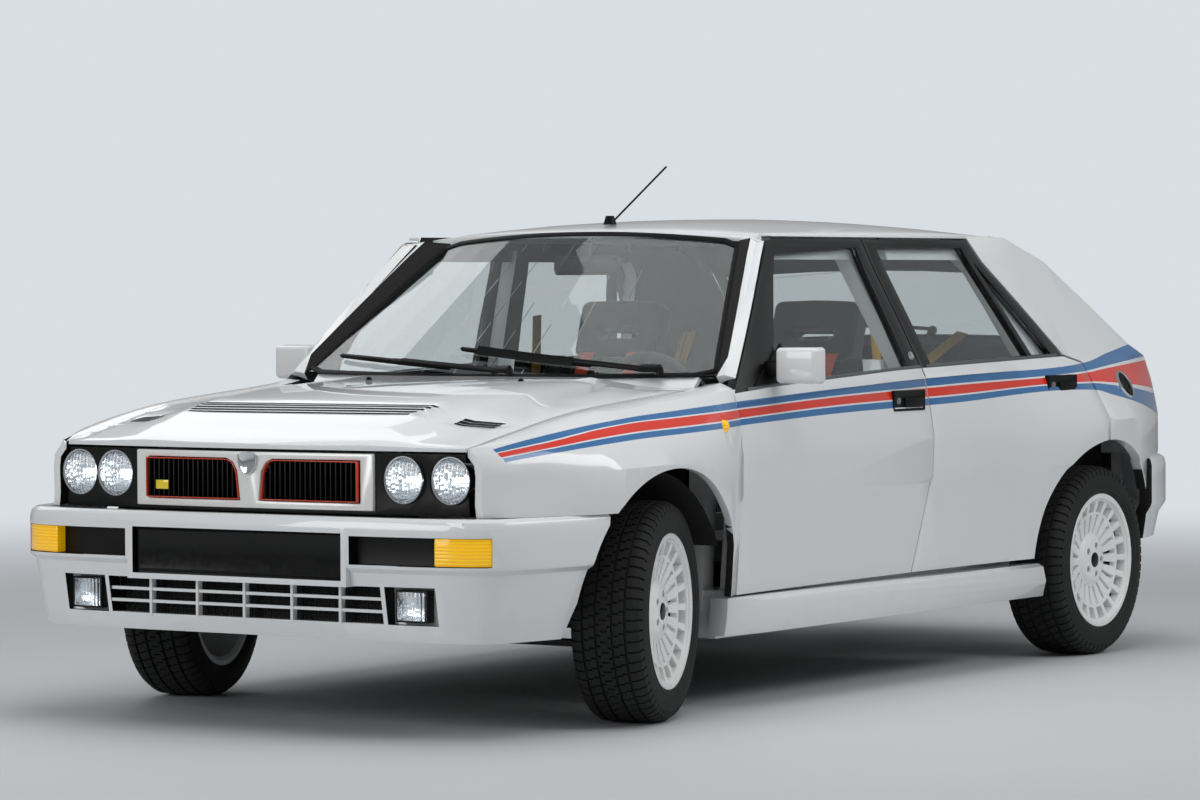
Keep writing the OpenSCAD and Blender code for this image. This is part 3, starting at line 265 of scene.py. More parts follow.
def add_dust(tree, shader, place, base):
    """Road dust, thicker towards the sills, over a base colour."""
    height = add_node(tree, "ShaderNodeSeparateXYZ", {}, {0: place.outputs["Object"]})
    low = add_node(tree, "ShaderNodeMapRange", {}, {
        "Value": height.outputs[2], "From Min": 0.18, "From Max": 0.46, "To Min": 0.16, "To Max": 0.0})
    patches = add_node(tree, "ShaderNodeTexNoise", {}, {
        "Vector": place.outputs["Object"], "Scale": 1 / 0.06, "Detail": 6.0})
    share = add_node(tree, "ShaderNodeMath", {"operation": "MULTIPLY"}, {
        0: low.outputs[0], 1: patches.outputs[0]})
    blend(tree, shader, share.outputs[0], base, colour("#9A9184"))


body_white = colour("#E6E8E9")
white_paint, tree, shader, place = lacquered("white sprayed paint", "#E6E8E9")
add_dust(tree, shader, place, body_white)


# The side stripes are cut vinyl under the lacquer: a plain red band between two
# blue ones, with white gaps. They thin towards the nose and fan out behind the
# rear doors. Each line is given as places along the car and heights.
stripe_from, stripe_to = -1.80, 1.80
stripe_low, stripe_high = 0.68, 0.98
stripe_lines = {
    "bottom": [(-1.795, 0.703), (-1.639, 0.725), (-1.394, 0.7475), (-1.09, 0.760), (-0.797, 0.768),
               (-0.258, 0.787), (0.41, 0.800), (1.239, 0.821), (1.36, 0.803), (1.80, 0.722)],
    "red bottom": [(-1.795, 0.717), (-1.639, 0.740), (-1.373, 0.768), (-1.09, 0.780), (-0.79, 0.790),
                   (-0.253, 0.812), (0.41, 0.826), (1.276, 0.847), (1.40, 0.842), (1.80, 0.814)],
    "red top": [(-1.795, 0.728), (-1.639, 0.753), (-1.341, 0.7906), (-1.09, 0.802), (-0.79, 0.812),
                (-0.247, 0.8345), (0.41, 0.852), (1.228, 0.873), (1.40, 0.884), (1.80, 0.905)],
    "top": [(-1.795, 0.739), (-1.593, 0.778), (-1.319, 0.807), (-1.09, 0.821), (-0.773, 0.8365),
            (-0.246, 0.860), (0.43, 0.883), (1.22, 0.903), (1.504, 0.938), (1.80, 0.977)],
}
striped_paint, tree, shader, place = lacquered("white paint with vinyl stripes", "#E6E8E9")
spot = add_node(tree, "ShaderNodeSeparateXYZ", {}, {0: place.outputs["Object"]})
facing = add_node(tree, "ShaderNodeSeparateXYZ", {}, {0: place.outputs["Normal"]})
along = add_node(tree, "ShaderNodeMapRange", {}, {
    "Value": spot.outputs[1], "From Min": stripe_from, "From Max": stripe_to})
heights = {}
for name, points in stripe_lines.items():
    route = add_node(tree, "ShaderNodeFloatCurve", {}, {"Value": along.outputs[0]})
    drawn = route.mapping.curves[0]
    wanted = [((y - stripe_from) / (stripe_to - stripe_from), (z - stripe_low) / (stripe_high - stripe_low))
              for y, z in points]
    while len(drawn.points) < len(wanted):
        drawn.points.new(0.5, 0.5)
    for point, (u, v) in zip(drawn.points, sorted(wanted)):
        point.location = (u, v)
    route.mapping.update()
    heights[name] = add_node(tree, "ShaderNodeMapRange", {}, {
        "Value": route.outputs[0], "To Min": stripe_low, "To Max": stripe_high}).outputs[0]
bands = [add_node(tree, "ShaderNodeMapRange", {}, {
    "Value": spot.outputs[2], "From Min": heights[low], "From Max": heights[high],
    "To Max": share}).outputs[0]
    for low, high, share in (("bottom", "red bottom", 0.4), ("red bottom", "red top", 0.2),
                             ("red top", "top", 0.4))]
lower = add_node(tree, "ShaderNodeMath", {}, {0: bands[0], 1: bands[1]})
band = add_node(tree, "ShaderNodeMath", {}, {0: lower.outputs[0], 1: bands[2]})
blue, red = colour("#2C6FA9"), colour("#E42D10")
ramp = add_node(tree, "ShaderNodeValToRGB", {}, {0: band.outputs[0]})
ramp.color_ramp.interpolation = "CONSTANT"
stops = [(0.0, body_white), (0.03, blue), (0.33, body_white), (0.4, red), (0.6, body_white),
         (0.67, blue), (0.97, body_white)]
while len(ramp.color_ramp.elements) < len(stops):
    ramp.color_ramp.elements.new(0.5)
for element, (position, shade) in zip(ramp.color_ramp.elements, stops):
    element.position = position
    element.color = shade
# only outward faces carry the vinyl, from its slanted front end to the tail lamps
outward = add_node(tree, "ShaderNodeMath", {"operation": "MULTIPLY"},
                   {0: facing.outputs[0], 1: spot.outputs[0]})
outside = add_node(tree, "ShaderNodeMath", {"operation": "GREATER_THAN"},
    {0: outward.outputs[0], 1: 0.12})
slant = add_node(tree, "ShaderNodeMath", {"operation": "MULTIPLY_ADD"},
                 {0: spot.outputs[2], 1: 0.35, 2: spot.outputs[1]})
begun = add_node(tree, "ShaderNodeMath", {"operation": "GREATER_THAN"}, {0: slant.outputs[0], 1: -1.530})
shown = add_node(tree, "ShaderNodeMath", {"operation": "MULTIPLY"},
                 {0: outside.outputs[0], 1: begun.outputs[0]})
blend(tree, shader, shown.outputs[0], body_white, ramp.outputs[0])

for node, finish in (("roof_panel", white_paint), ("scuttle_panel", white_paint),
                     ("front_wings", striped_paint), ("side_skirts", white_paint),
                     ("rear_bumper", white_paint), ("rear_panel", white_paint),
                     ("body_sides", striped_paint)):
    fit(pressing(node, "painted_" + node), finish, "root", "body_paint", node)


# Black enamel on the door frames under a satin lacquer, which hides
# the frames round the glass.
def grained(name, code, size, depth, rough, detail=2.0, **surface):
    """A finish of one colour with grain all over."""
    finish, tree, shader, place = new_finish(name, Base_Color=colour(code), **surface)
    add_grain(tree, shader, place, size, depth, rough, detail)
    return finish


black_enamel = grained("satin black enamel", "#0B0B0C", 0.0015, 0.00003, (0.28, 0.4), Roughness=0.32,
    Coat_Weight=0.3, Coat_Roughness=0.2)


# ---- Doors ----
# Four front-hinged steel doors: striped skins below the waist, and window frames
# in black enamel above it, folded from the same pressing.
front_axle = -1.198


def waist_height(y):
    """Height of the bright strip under the side windows, along the car."""
    route = [(front_axle + 0.340, 0.850), (-0.559, 0.872), (0.136, 0.904), (1.085, 0.926), (1.80, 0.932)]
    for (y0, z0), (y1, z1) in zip(route, route[1:]):
        if y < y1:
            return z0 + (z1 - z0) * max(0.0, y - y0) / (y1 - y0)
    return route[-1][1]


def reface(piece, finish, wanted):
    """Gives a further finish to the faces that a test picks out."""
    finishes = piece.data.materials
    if finish.name not in finishes:
        finishes.append(finish)
    for face in piece.data.polygons:
        if wanted(face):
            face.material_index = finishes.find(finish.name)


for end in ("front", "rear"):
    for side in ("left", "right"):
        node = f"{end}_door_{side}"
        door = pressing(node, f"painted_{node}")
        fit(door, striped_paint, f"door_{end}_{side}", "body_paint", node)
        reface(door, black_enamel, lambda face: face.center.z > waist_height(face.center.y) + 0.004)

for node, body in (("bonnet", "bonnet_lid"), ("tailgate", "tailgate_lid"), ("roof_spoiler", "tailgate_lid")):
    fit(pressing(node, "painted_" + node), white_paint, body, "body_paint", node)
fit(pressing("front_bumper", "painted_front_bumper"), white_paint, "root", "body_paint", "front_bumper")


# ---- Window glass ----
# Toughened flat glass with a trace of green, clear enough to see the cabin
# through. Lamps shine straight through it, as they do through a real pane.
def pane_finish(name, tint, roughness=0.0):
    finish, tree, shader, place = new_finish(name, Base_Color=colour(tint), Roughness=roughness, IOR=1.5,
        Transmission_Weight=1.0)
    path = add_node(tree, "ShaderNodeLightPath")
    clear = add_node(tree, "ShaderNodeBsdfTransparent", {}, {"Color": colour(tint)})
    choose = add_node(tree, "ShaderNodeMixShader", {}, {
        0: path.outputs["Is Shadow Ray"], 1: shader.outputs[0], 2: clear.outputs[0]})
    tree.links.new(choose.outputs[0], tree.nodes["Material Output"].inputs["Surface"])
    return finish


window_glass = pane_finish("toughened window glass", "#E6EAE9")
for node in ("windscreen", "rear_window", "front_glass_left", "front_glass_right",
             "rear_glass_left", "rear_glass_right"):
    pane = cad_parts[node]
    pane.data.materials.clear()
    pane.data.materials.append(window_glass)
    take_up(pane)


# ---- Black plastic of the nose ----
# Moulded polypropylene, dyed black, with the fine even grain of a spark-eroded
# mould and the soft sheen that comes with it.
black_plastic = grained("grained black polypropylene", "#070708", 0.0012, 0.00004, (0.38, 0.52),
    Roughness=0.5, Specular_IOR_Level=0.25)

gloss_black = grained("gloss black acrylic", "#030304", 0.02, 0.00001, (0.16, 0.26), Roughness=0.2,
    Specular_IOR_Level=0.3)

headlamp_panel = pressing("headlamp_panel", "moulded_headlamp_panel", 0.0015)
fit(headlamp_panel, black_plastic, "root", "black_trim", "headlamp_panel")

# Insides of the slots, the plate recess and the fog lamp pockets in the bumper
bumper = bpy.data.objects["painted_front_bumper"]
nose_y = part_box("front_bumper")[0].y


def in_pocket(face):
    """Whether a face of the bumper is inside a lamp opening, a fog lamp pocket or the plate recess."""
    places = [bumper.data.vertices[i].co for i in face.vertices]
    for low_x, high_x, low_z, high_z, least_depth in (
            (0.366, 0.772, 0.442, 0.523, 0.012), (0.448, 0.620, 0.289, 0.396, 0.030),
            (-1, 0.349, 0.399, 0.529, 0.003)):
        inside = all(low_x < abs(spot.x) < high_x and low_z < spot.z < high_z for spot in places)
        if inside and face.center.y - nose_y > least_depth:
            return True
    return False


reface(bumper, black_plastic, in_pocket)


def block(name, low, high):
    """A block between two corners, to be cut, rounded or bent."""
    low, high = Vector(low), Vector(high)
    bpy.ops.object.select_all(action="DESELECT")
    bpy.ops.mesh.primitive_cube_add(size=1, location=(low + high) / 2)
    piece = bpy.context.object
    piece.name = name
    piece.scale = high - low
    bpy.ops.object.transform_apply(location=True, rotation=True, scale=True)
    return piece


def rounded(name, low, high, edge, segments=4, smooth=40):
    """A block with rounded edges."""
    piece = block(name, low, high)
    soften(piece, edge, smooth, segments)
    return piece


def joined(name, pieces):
    """Several meshes as one piece."""
    take_up(pieces[0])
    for piece in pieces:
        piece.select_set(True)
    if len(pieces) > 1:
        bpy.ops.object.join()
    pieces[0].name = name
    return pieces[0]


def meshed(name, points, edges, faces):
    """A piece made of points, and of the edges or faces between them."""
    mesh = bpy.data.meshes.new(name)
    mesh.from_pydata(points, edges, faces)
    return in_scene(name, mesh)


def plate_of(name, points, way):
    """A plate: one flat face between points, made thick in one direction."""
    piece = meshed(name, points, [], [range(len(points))])
    take_up(piece)
    bpy.ops.object.mode_set(mode="EDIT")
    bpy.ops.mesh.select_all(action="SELECT")
    bpy.ops.mesh.extrude_region_move(TRANSFORM_OT_translate={"value": way})
    bpy.ops.mesh.select_all(action="SELECT")
    bpy.ops.mesh.normals_make_consistent(inside=False)
    bpy.ops.object.mode_set(mode="OBJECT")
    return piece


def pick_faces(piece, wanted):
    """Selects the faces that a test picks out, and leaves the piece open for editing."""
    take_up(piece)
    bpy.ops.object.mode_set(mode="EDIT")
    bpy.ops.mesh.select_mode(type="FACE")
    bpy.ops.mesh.select_all(action="DESELECT")
    bpy.ops.object.mode_set(mode="OBJECT")
    for face in piece.data.polygons:
        face.select = wanted(face)
    bpy.ops.object.mode_set(mode="EDIT")


def copy_of(piece, name, change=Matrix.Identity(4)):
    """A copy with its own mesh, turned or mirrored; a mirrored one has its faces turned back."""
    twin = in_scene(name, piece.data.copy())
    twin.data.transform(change)
    if change.determinant() < 0:
        twin.data.flip_normals()
    return twin


mirror_x = Matrix.Scale(-1, 4, (1, 0, 0))


def turned(name, outline, centre, axis, steps=48, smooth=35):
    """A piece spun from an outline of [radius, place along the axis]. A closed outline gives a ring."""
    ring = outline[0] == outline[-1]
    rows = outline[:-1] if ring else outline
    edges = [(i, i + 1) for i in range(len(rows) - 1)] + ([(len(rows) - 1, 0)] if ring else [])
    piece = meshed(name, [(radius, 0, height) for radius, height in rows], edges, [])
    take_up(piece)
    bpy.ops.object.mode_set(mode="EDIT")
    bpy.ops.mesh.select_all(action="SELECT")
    bpy.ops.mesh.spin(steps=steps, angle=2 * math.pi, center=(0, 0, 0), axis=(0, 0, 1))
    bpy.ops.mesh.select_all(action="SELECT")
    bpy.ops.mesh.remove_doubles(threshold=0.00001)
    bpy.ops.mesh.normals_make_consistent(inside=False)
    bpy.ops.object.mode_set(mode="OBJECT")
    turn = Vector(axis).to_track_quat("Z", "Y").to_matrix().to_4x4()
    piece.data.transform(Matrix.Translation(centre) @ turn)
    bpy.ops.object.shade_smooth_by_angle(angle=math.radians(smooth))
    return piece


# ---- Headlamps ----
# Four round sealed-beam lamps: a fluted glass lens in a bright rim, over an
# aluminised bowl with its bulb. The lens flutes are 12 mm apart.
def add_ribs(tree, place, direction, pitch, distortion=0.0):
    """Parallel ribs at a real distance in metres; at scale 1 the texture repeats every 0.314 m."""
    return add_node(tree, "ShaderNodeTexWave", {"bands_direction": direction}, {
        "Vector": place.outputs["Object"], "Scale": 0.314 / pitch, "Distortion": distortion})


bright_metal = grained("chromium plate", "#DADDE0", 0.03, 0.000005, (0.05, 0.12), Metallic=1.0,
    Roughness=0.08)

mirror_bowl, tree, shader, place = new_finish("aluminised reflector", Base_Color=colour("#F3F4F6"),
    Metallic=1.0, Roughness=0.16)
facets = add_node(tree, "ShaderNodeTexVoronoi", {}, {"Vector": place.outputs["Object"],
    "Scale": 1 / 0.014})
raise_surface(tree, shader, facets.outputs[0], 0.003, 0.8)

lens_glass = pane_finish("pressed lamp glass", "#F6FAFC", 0.02)
tree = lens_glass.node_tree
place = tree.nodes["Texture Coordinate"]
flutes = add_ribs(tree, place, "X", 0.012)
raise_surface(tree, tree.nodes["Principled BSDF"], flutes.outputs[1], 0.0012, 0.7)

glow = grained("frosted bulb glass", "#FFFFFF", 0.002, 0.00005, (0.25, 0.4), Roughness=0.3,
    Emission_Color=colour("#FFFFFF"), Emission_Strength=2.5)

lamp_radius, lamp_height = 0.062, 0.660
lamp_low, lamp_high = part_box("headlamps")
outer_lamp, inner_lamp = lamp_high.x - lamp_radius, lamp_high.x - lamp_radius - 0.137
lens_pieces, bowl_pieces, rim_pieces, bulb_pieces = [], [], [], []
for x in (-outer_lamp, -inner_lamp, inner_lamp, outer_lamp):
    face_y = lamp_low.y + 0.011 + (0.0165 if abs(x) == outer_lamp else 0.0)
    centre = (x, face_y, lamp_height)
    lens_pieces.append(turned("lens", [(0.0, -0.0080), (0.018, -0.0074), (0.036, -0.0052),
        (0.050, -0.0020), (0.0575, 0.0018), (0.0575, 0.0050), (0.0500, 0.0012), (0.036, -0.0022),
        (0.018, -0.0044), (0.0, -0.0050)], centre, (0, 1, 0)))
    rim_pieces.append(turned("rim", [(0.0562, -0.0010), (0.0585, -0.0040), (0.0612, -0.0042),
        (0.0620, -0.0010), (0.0620, 0.0300), (0.0600, 0.0300), (0.0580, 0.0060), (0.0562, -0.0010)],
        centre, (0, 1, 0)))
    bowl_pieces.append(turned("bowl", [(0.0575, 0.0060), (0.0540, 0.0200), (0.0440, 0.0370),
        (0.0300, 0.0490), (0.0140, 0.0560), (0.0, 0.0580), (0.0, 0.0620), (0.0160, 0.0600),
        (0.0330, 0.0520), (0.0470, 0.0390), (0.0570, 0.0200), (0.0595, 0.0070), (0.0575, 0.0060)], centre,
        (0, 1, 0)))
    bulb_pieces.append(turned("bulb", [(0.0, 0.0150), (0.0050, 0.0165), (0.0080, 0.0210),
        (0.0085, 0.0300), (0.0060, 0.0400), (0.0075, 0.0560), (0.0, 0.0560)], centre, (0, 1, 0), 24))
fit(joined("headlamp_lenses", lens_pieces), lens_glass, "root", "lamp_glass", "headlamps")
fit(joined("headlamp_bowls", bowl_pieces), mirror_bowl, "root", "lamp_glass")
fit(joined("headlamp_rims", rim_pieces), bright_metal, "root", "grille_metal")
fit(joined("headlamp_bulbs", bulb_pieces), glow, "root", "lamp_glass")


# ---- Grille ----
# A cast aluminium surround in satin silver lacquer, with two openings edged by a
# thin orange-red bead, and upright black vanes set deep behind them.
satin_silver = grained("satin silver lacquer on cast aluminium", "#E9E9E7", 0.0008, 0.000006,
    (0.24, 0.34), Metallic=0.15, Roughness=0.28, Coat_Weight=0.5, Coat_Roughness=0.1)
fit(pressing("grille_frame", "cast_grille_frame", 0.004, 40), satin_silver, "root", "grille_metal",
    "grille_frame")
grille_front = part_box("grille_frame")[0].y

red_bead = grained("orange-red enamelled bead", "#D8421C", 0.003, 0.00002, (0.25, 0.4), Roughness=0.3,
    Coat_Weight=0.4)
opening = [(0.036, 0.6005), (0.3495, 0.6005), (0.3495, 0.7055), (0.079, 0.7055), (0.066, 0.702),
    (0.056, 0.695), (0.049, 0.684), (0.044, 0.668)]
bead = plate_of("grille_beads", [(x, grille_front + 0.003, z) for x, z in opening], (0, 0.012, 0))
pick_faces(bead, lambda face: abs(face.normal.y) > 0.9)
bpy.ops.mesh.inset(thickness=0.0024)
bpy.ops.mesh.bridge_edge_loops()
bpy.ops.object.mode_set(mode="OBJECT")
soften(bead, 0.0008)
bead = joined("grille_beads", [bead, copy_of(bead, "bead", mirror_x)])
fit(bead, red_bead, "root", "black_trim")


def opening_top(x):
    """Height of the grille opening's upper edge at a place across the car."""
    corner = [(0.040, 0.672), (0.049, 0.684), (0.056, 0.695), (0.066, 0.702), (0.079, 0.7055),
        (0.36, 0.7055)]
    for (x0, z0), (x1, z1) in zip(corner, corner[1:]):
        if x < x1:
            return z0 + (z1 - z0) * max(0.0, x - x0) / (x1 - x0)
    return corner[-1][1]


vane_pitch, vane_width = 0.0165, 0.0045
vanes = []
for side in (-1, 1):
    for i in range(19):
        x = 0.046 + i * vane_pitch
        vanes.append(block("vane", (side * x - vane_width / 2, grille_front + 0.010, 0.599),
            (side * x + vane_width / 2, grille_front + 0.030, opening_top(x))))
vanes = joined("grille_vanes", vanes)
soften(vanes, 0.0012)
fit(vanes, black_plastic, "root", "black_trim")

# Plain shield on the bridge between the openings, and a small enamelled plate
shield = [(0.0, 0.666), (0.013, 0.672), (0.023, 0.683), (0.0285, 0.698), (0.0295, 0.716), (0.020, 0.7225),
    (0.0, 0.7250)]
shield += [(-x, z) for x, z in reversed(shield[1:-1])]
badge = plate_of("blank_shield", [(x, grille_front - 0.0095, z) for x, z in shield], (0, 0.014, 0))
pick_faces(badge, lambda face: face.normal.y < -0.9)
bpy.ops.mesh.inset(thickness=0.0045)
bpy.ops.transform.translate(value=(0, 0.0016, 0))
bpy.ops.object.mode_set(mode="OBJECT")
soften(badge, 0.0006, 40)
fit(badge, bright_metal, "root", "grille_metal")

yellow_enamel = grained("yellow vitreous enamel", "#EFD21E", 0.004, 0.00002, (0.1, 0.2), Roughness=0.15,
    Coat_Weight=0.8)
tag = rounded("blank_enamel_tag", (-0.318, grille_front + 0.0065, 0.622),
    (-0.276, grille_front + 0.0095, 0.646), 0.0008, 2, 30)
fit(tag, yellow_enamel, "root", "black_trim")


# ---- Bumper fittings ----
# A blank gloss-black board in the recess, ribbed amber lamps at the corners,
# square fog lamps in the pockets, and a black mesh behind the intake bars.
board = block("blank_plate_board", (-0.336, nose_y + 0.012, 0.410), (0.336, nose_y + 0.0215, 0.518))
pick_faces(board, lambda face: face.normal.y < -0.9)
bpy.ops.mesh.inset(thickness=0.006)
bpy.ops.transform.translate(value=(0, 0.002, 0))
bpy.ops.object.mode_set(mode="OBJECT")
soften(board, 0.0015, 40)
fit(board, gloss_black, "root", "black_trim")

amber, tree, shader, place = new_finish("ribbed amber acrylic", Base_Color=colour("#FFC400"),
    Roughness=0.12, Coat_Weight=0.7, IOR=1.49, Emission_Color=colour("#FFC000"), Emission_Strength=0.28)
ribs = add_ribs(tree, place, "Z", 0.009)
raise_surface(tree, shader, ribs.outputs[1], 0.0012, 0.8)
blend(tree, shader, ribs.outputs[1], colour("#F5A900"), colour("#FFD400"))
fit(pressing("front_indicators", "amber_front_lamps", 0.003, 40), amber, "root", "amber_lens",
    "front_indicators")

fog_low, fog_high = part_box("fog_lamps")
fog_lenses, fog_cases = [], []
fog_x, fog_z = fog_high.x - 0.052, (fog_low.z + fog_high.z) / 2


def in_bowl(face):
    """Whether a face of a fog lamp's case belongs to its bowl, on either side of the car."""
    middle = face.center
    across_it, above_it = abs(abs(middle.x) - fog_x), abs(middle.z - fog_z)
    return across_it < 0.0445 and above_it < 0.0355 and middle.y > fog_low.y + 0.004


for side in (-1, 1):
    fog_lenses.append(rounded("fog lens", (side * fog_x - 0.045, fog_low.y, fog_z - 0.037),
        (side * fog_x + 0.045, fog_low.y + 0.003, fog_z + 0.037), 0.0015, 2, 30))
    case = block("fog case", (side * fog_x - 0.050, fog_low.y + 0.0015, fog_z - 0.041),
        (side * fog_x + 0.050, fog_low.y + 0.0305, fog_z + 0.041))
    pick_faces(case, lambda face: face.normal.y < -0.9)
    bpy.ops.mesh.inset(thickness=0.0052)
    bpy.ops.mesh.extrude_region_move(TRANSFORM_OT_translate={"value": (0, 0.003, 0)})
    bpy.ops.mesh.extrude_region_move(TRANSFORM_OT_translate={"value": (0, 0.018, 0)})
    bpy.ops.transform.resize(value=(0.6, 1, 0.6))
    bpy.ops.object.mode_set(mode="OBJECT")
    case.data.materials.append(black_plastic)
    reface(case, mirror_bowl, in_bowl)
    soften(case, 0.0012)
    fog_cases.append(case)
fit(joined("fog_lamp_cases", fog_cases), None, "root", "lamp_glass")
fit(joined("fog_lamp_lenses", fog_lenses), lens_glass, "root", "lamp_glass", "fog_lamps")

mesh_pieces = [block("intake back", (-0.452, nose_y + 0.082, 0.286), (0.452, nose_y + 0.088, 0.398))]
for i in range(43):
    x = -0.441 + i * 0.021
    mesh_pieces.append(block("upright wire", (x - 0.0015, nose_y + 0.070, 0.286),
        (x + 0.0015, nose_y + 0.073, 0.398)))
for i in range(8):
    z = 0.292 + i * 0.0145
    mesh_pieces.append(block("level wire", (-0.452, nose_y + 0.073, z - 0.0015),
        (0.452, nose_y + 0.076, z + 0.0015)))
fit(joined("intake_mesh", mesh_pieces), black_plastic, "root", "black_trim")


# ---- Rims ----
# Cast aluminium wheels sprayed white: a domed hub with five bolts, twenty narrow
# slots, a ring, twenty wide windows and a stepped lip. The castings are one shape.
wheel_white, tree, shader, place = new_finish("white lacquer on cast aluminium",
    Base_Color=colour("#F1F2F2"), Roughness=0.28, Coat_Weight=0.6, Coat_Roughness=0.08)
add_grain(tree, shader, place, 0.0035, 0.00003, (0.22, 0.36))
dust = add_node(tree, "ShaderNodeTexNoise", {}, {"Vector": place.outputs["Object"], "Scale": 9.0,
    "Detail": 6.0})
spread = add_node(tree, "ShaderNodeMapRange", {}, {
    "Value": dust.outputs[0], "From Min": 0.45, "From Max": 0.75, "To Min": 0.0, "To Max": 0.35})
blend(tree, shader, spread.outputs[0], colour("#F3F4F4"), colour("#D8D5CF"))

# Near-black pocket floors for the slots and windows: painted shade, where real openings would show the dark
# behind the wheel
window_shade_black = grained("brake dust on primer", "#191817", 0.002, 0.0001, (0.75, 0.95), Roughness=0.85)

steel = grained("zinc-plated steel", "#A9ABAC", 0.001, 0.00002, (0.28, 0.45), Metallic=1.0,
    Roughness=0.35)

rim = turned("rim", [(0.0, 0.0725), (0.030, 0.0725), (0.056, 0.0708), (0.070, 0.0670), (0.0765, 0.0605),
    (0.083, 0.0580), (0.112, 0.0640), (0.141, 0.0710), (0.145, 0.0718), (0.149, 0.0728), (0.166, 0.0780),
    (0.183, 0.0822), (0.1855, 0.0865), (0.1885, 0.0880), (0.1905, 0.0925), (0.1935, 0.0945),
    (0.2050, 0.0948), (0.2075, 0.0925), (0.2075, 0.0880), (0.1900, 0.0840), (0.1880, -0.0840),
    (0.2075, -0.0880), (0.2075, -0.0940), (0.1935, -0.0945), (0.1840, -0.0850), (0.1785, 0.0400),
    (0.1725, 0.0450), (0.100, 0.0360), (0.062, 0.0300), (0.0, 0.0300)], (0, 0, 0), (0, 0, 1), 120)
rim.data.materials.append(wheel_white)
for low, high, cells, depth in ((0.083, 0.141, (2, 3), 0.019), (0.149, 0.183, (1, 2, 3, 4), 0.026)):
    def in_slot(face):
        """Whether a face of the disc is the floor of one of the twenty slots of this row."""
        middle = face.center
        cell = int(math.degrees(math.atan2(middle.y, middle.x)) // 3) % 6
        return low < math.hypot(middle.x, middle.y) < high and middle.z > 0.055 and cell in cells

    pick_faces(rim, in_slot)
    bpy.ops.mesh.extrude_region_move(TRANSFORM_OT_translate={"value": (0, 0, -depth)})
    bpy.ops.object.mode_set(mode="OBJECT")
    # the pocket floors take the painted shade
    reface(rim, window_shade_black, lambda face: face.select)


def carve(piece, tool):
    """Cuts the shape of a tool out of a piece, and clears the tool away."""
    take_up(piece)
    cut = piece.modifiers.new(tool.name, "BOOLEAN")
    cut.operation = "DIFFERENCE"
    cut.solver = "EXACT"
    cut.object = tool
    bpy.ops.object.modifier_apply(modifier=cut.name)
    bpy.data.objects.remove(tool)


bolt_places = [(0.046 * math.cos(math.radians(90 + 72 * i)), 0.046 * math.sin(math.radians(90 + 72 * i)))
               for i in range(5)]
drills = []
for x, y in bolt_places:
    bpy.ops.object.select_all(action="DESELECT")
    bpy.ops.mesh.primitive_cylinder_add(vertices=28, radius=0.0105, depth=0.024, location=(x, y, 0.0735))
    drills.append(set_in_place(bpy.context.object))
carve(rim, joined("bolt recesses", drills))
soften(rim, 0.0013, 35)

bolt_outline = [(0.0, 0.0705), (0.0045, 0.0705), (0.0072, 0.0690), (0.0080, 0.0670), (0.0080, 0.0605),
    (0.0, 0.0605)]
bolts = joined("wheel bolts", [turned("bolt", bolt_outline, (x, y, 0), (0, 0, 1), 6, 20)
                               for x, y in bolt_places])
cap = turned("centre cap", [(0.0, 0.0760), (0.0190, 0.0757), (0.0222, 0.0745), (0.0235, 0.0722),
    (0.0235, 0.0712), (0.0, 0.0712)], (0, 0, 0), (0, 0, 1), 40)


# ---- Tyres ----
# Radial tyres of black rubber. Four grooves run round the tread, slanted sipes
# cut it into blocks, and a thin rib guards the rim.
rubber, tree, shader, place = new_finish("black tyre rubber", Base_Color=colour("#1D1E1F"),
    Roughness=0.72, Specular_IOR_Level=0.35)
add_grain(tree, shader, place, 0.0016, 0.00012, (0.62, 0.85))
scuff = add_node(tree, "ShaderNodeTexNoise", {}, {"Vector": place.outputs["Object"], "Scale": 6.0,
    "Detail": 5.0})
blend(tree, shader, scuff.outputs[0], colour("#161718"), colour("#2C2C2B"))

tyre_radius = 0.2930
crown = [(0.0, 0.0), (0.0525, 0.0003), (0.0765, 0.0030), (0.0925, 0.0140), (0.1005, 0.0400)]


def tread_drop(width):
    """How far the tyre's outside falls below its full radius at a place across the tread."""
    width = abs(width)
    for (w0, d0), (w1, d1) in zip(crown, crown[1:]):
        if width <= w1:
            return d0 + (d1 - d0) * (width - w0) / (w1 - w0)
    return crown[-1][1]


half_tread = []
for width in (0.0, 0.010, 0.0185, 0.019, 0.0255, 0.026, 0.040, 0.0540, 0.0545, 0.0610, 0.0615, 0.070,
              0.0765, 0.0855, 0.0925, 0.0975):
    sunk = 0.0065 if width in (0.019, 0.0255, 0.0545, 0.0610) else 0.0
    half_tread.append((tyre_radius - tread_drop(width) - sunk, width))
side = [(0.2530, 0.1005), (0.2410, 0.1022), (0.2330, 0.1025), (0.2315, 0.1015), (0.2250, 0.1012),
    (0.2235, 0.1022), (0.2190, 0.1020), (0.2165, 0.0990), (0.2110, 0.0968), (0.2070, 0.0935),
    (0.1980, 0.0880), (0.1900, 0.0850)]
outline = [(r, -w) for r, w in reversed(half_tread[1:] + side)] + half_tread + side
outline.append(outline[0])
tyre = turned("tyre", outline, (0, 0, 0), (0, 0, 1), 320)


def is_sipe(face):
    """Whether a face of the tread is one of the slanted cuts between the blocks."""
    middle = face.center
    width = abs(middle.z)
    inside = math.hypot(middle.x, middle.y) < tyre_radius - tread_drop(width) - 0.002
    if inside or width > 0.0975 or 0.0186 < width < 0.0259 or 0.0541 < width < 0.0614:
        return False
    slant = 0
    for least, most, cells in ((0.010, 0.0186, 2), (0.026, 0.040, 3), (0.040, 0.055, 4)):
        if least < width < most:
            slant = cells
    step = int(round((math.degrees(math.atan2(middle.y, middle.x)) % 360) / 1.125 - 0.5))
    return (step + (slant if middle.z > 0 else -slant)) % 5 == 0


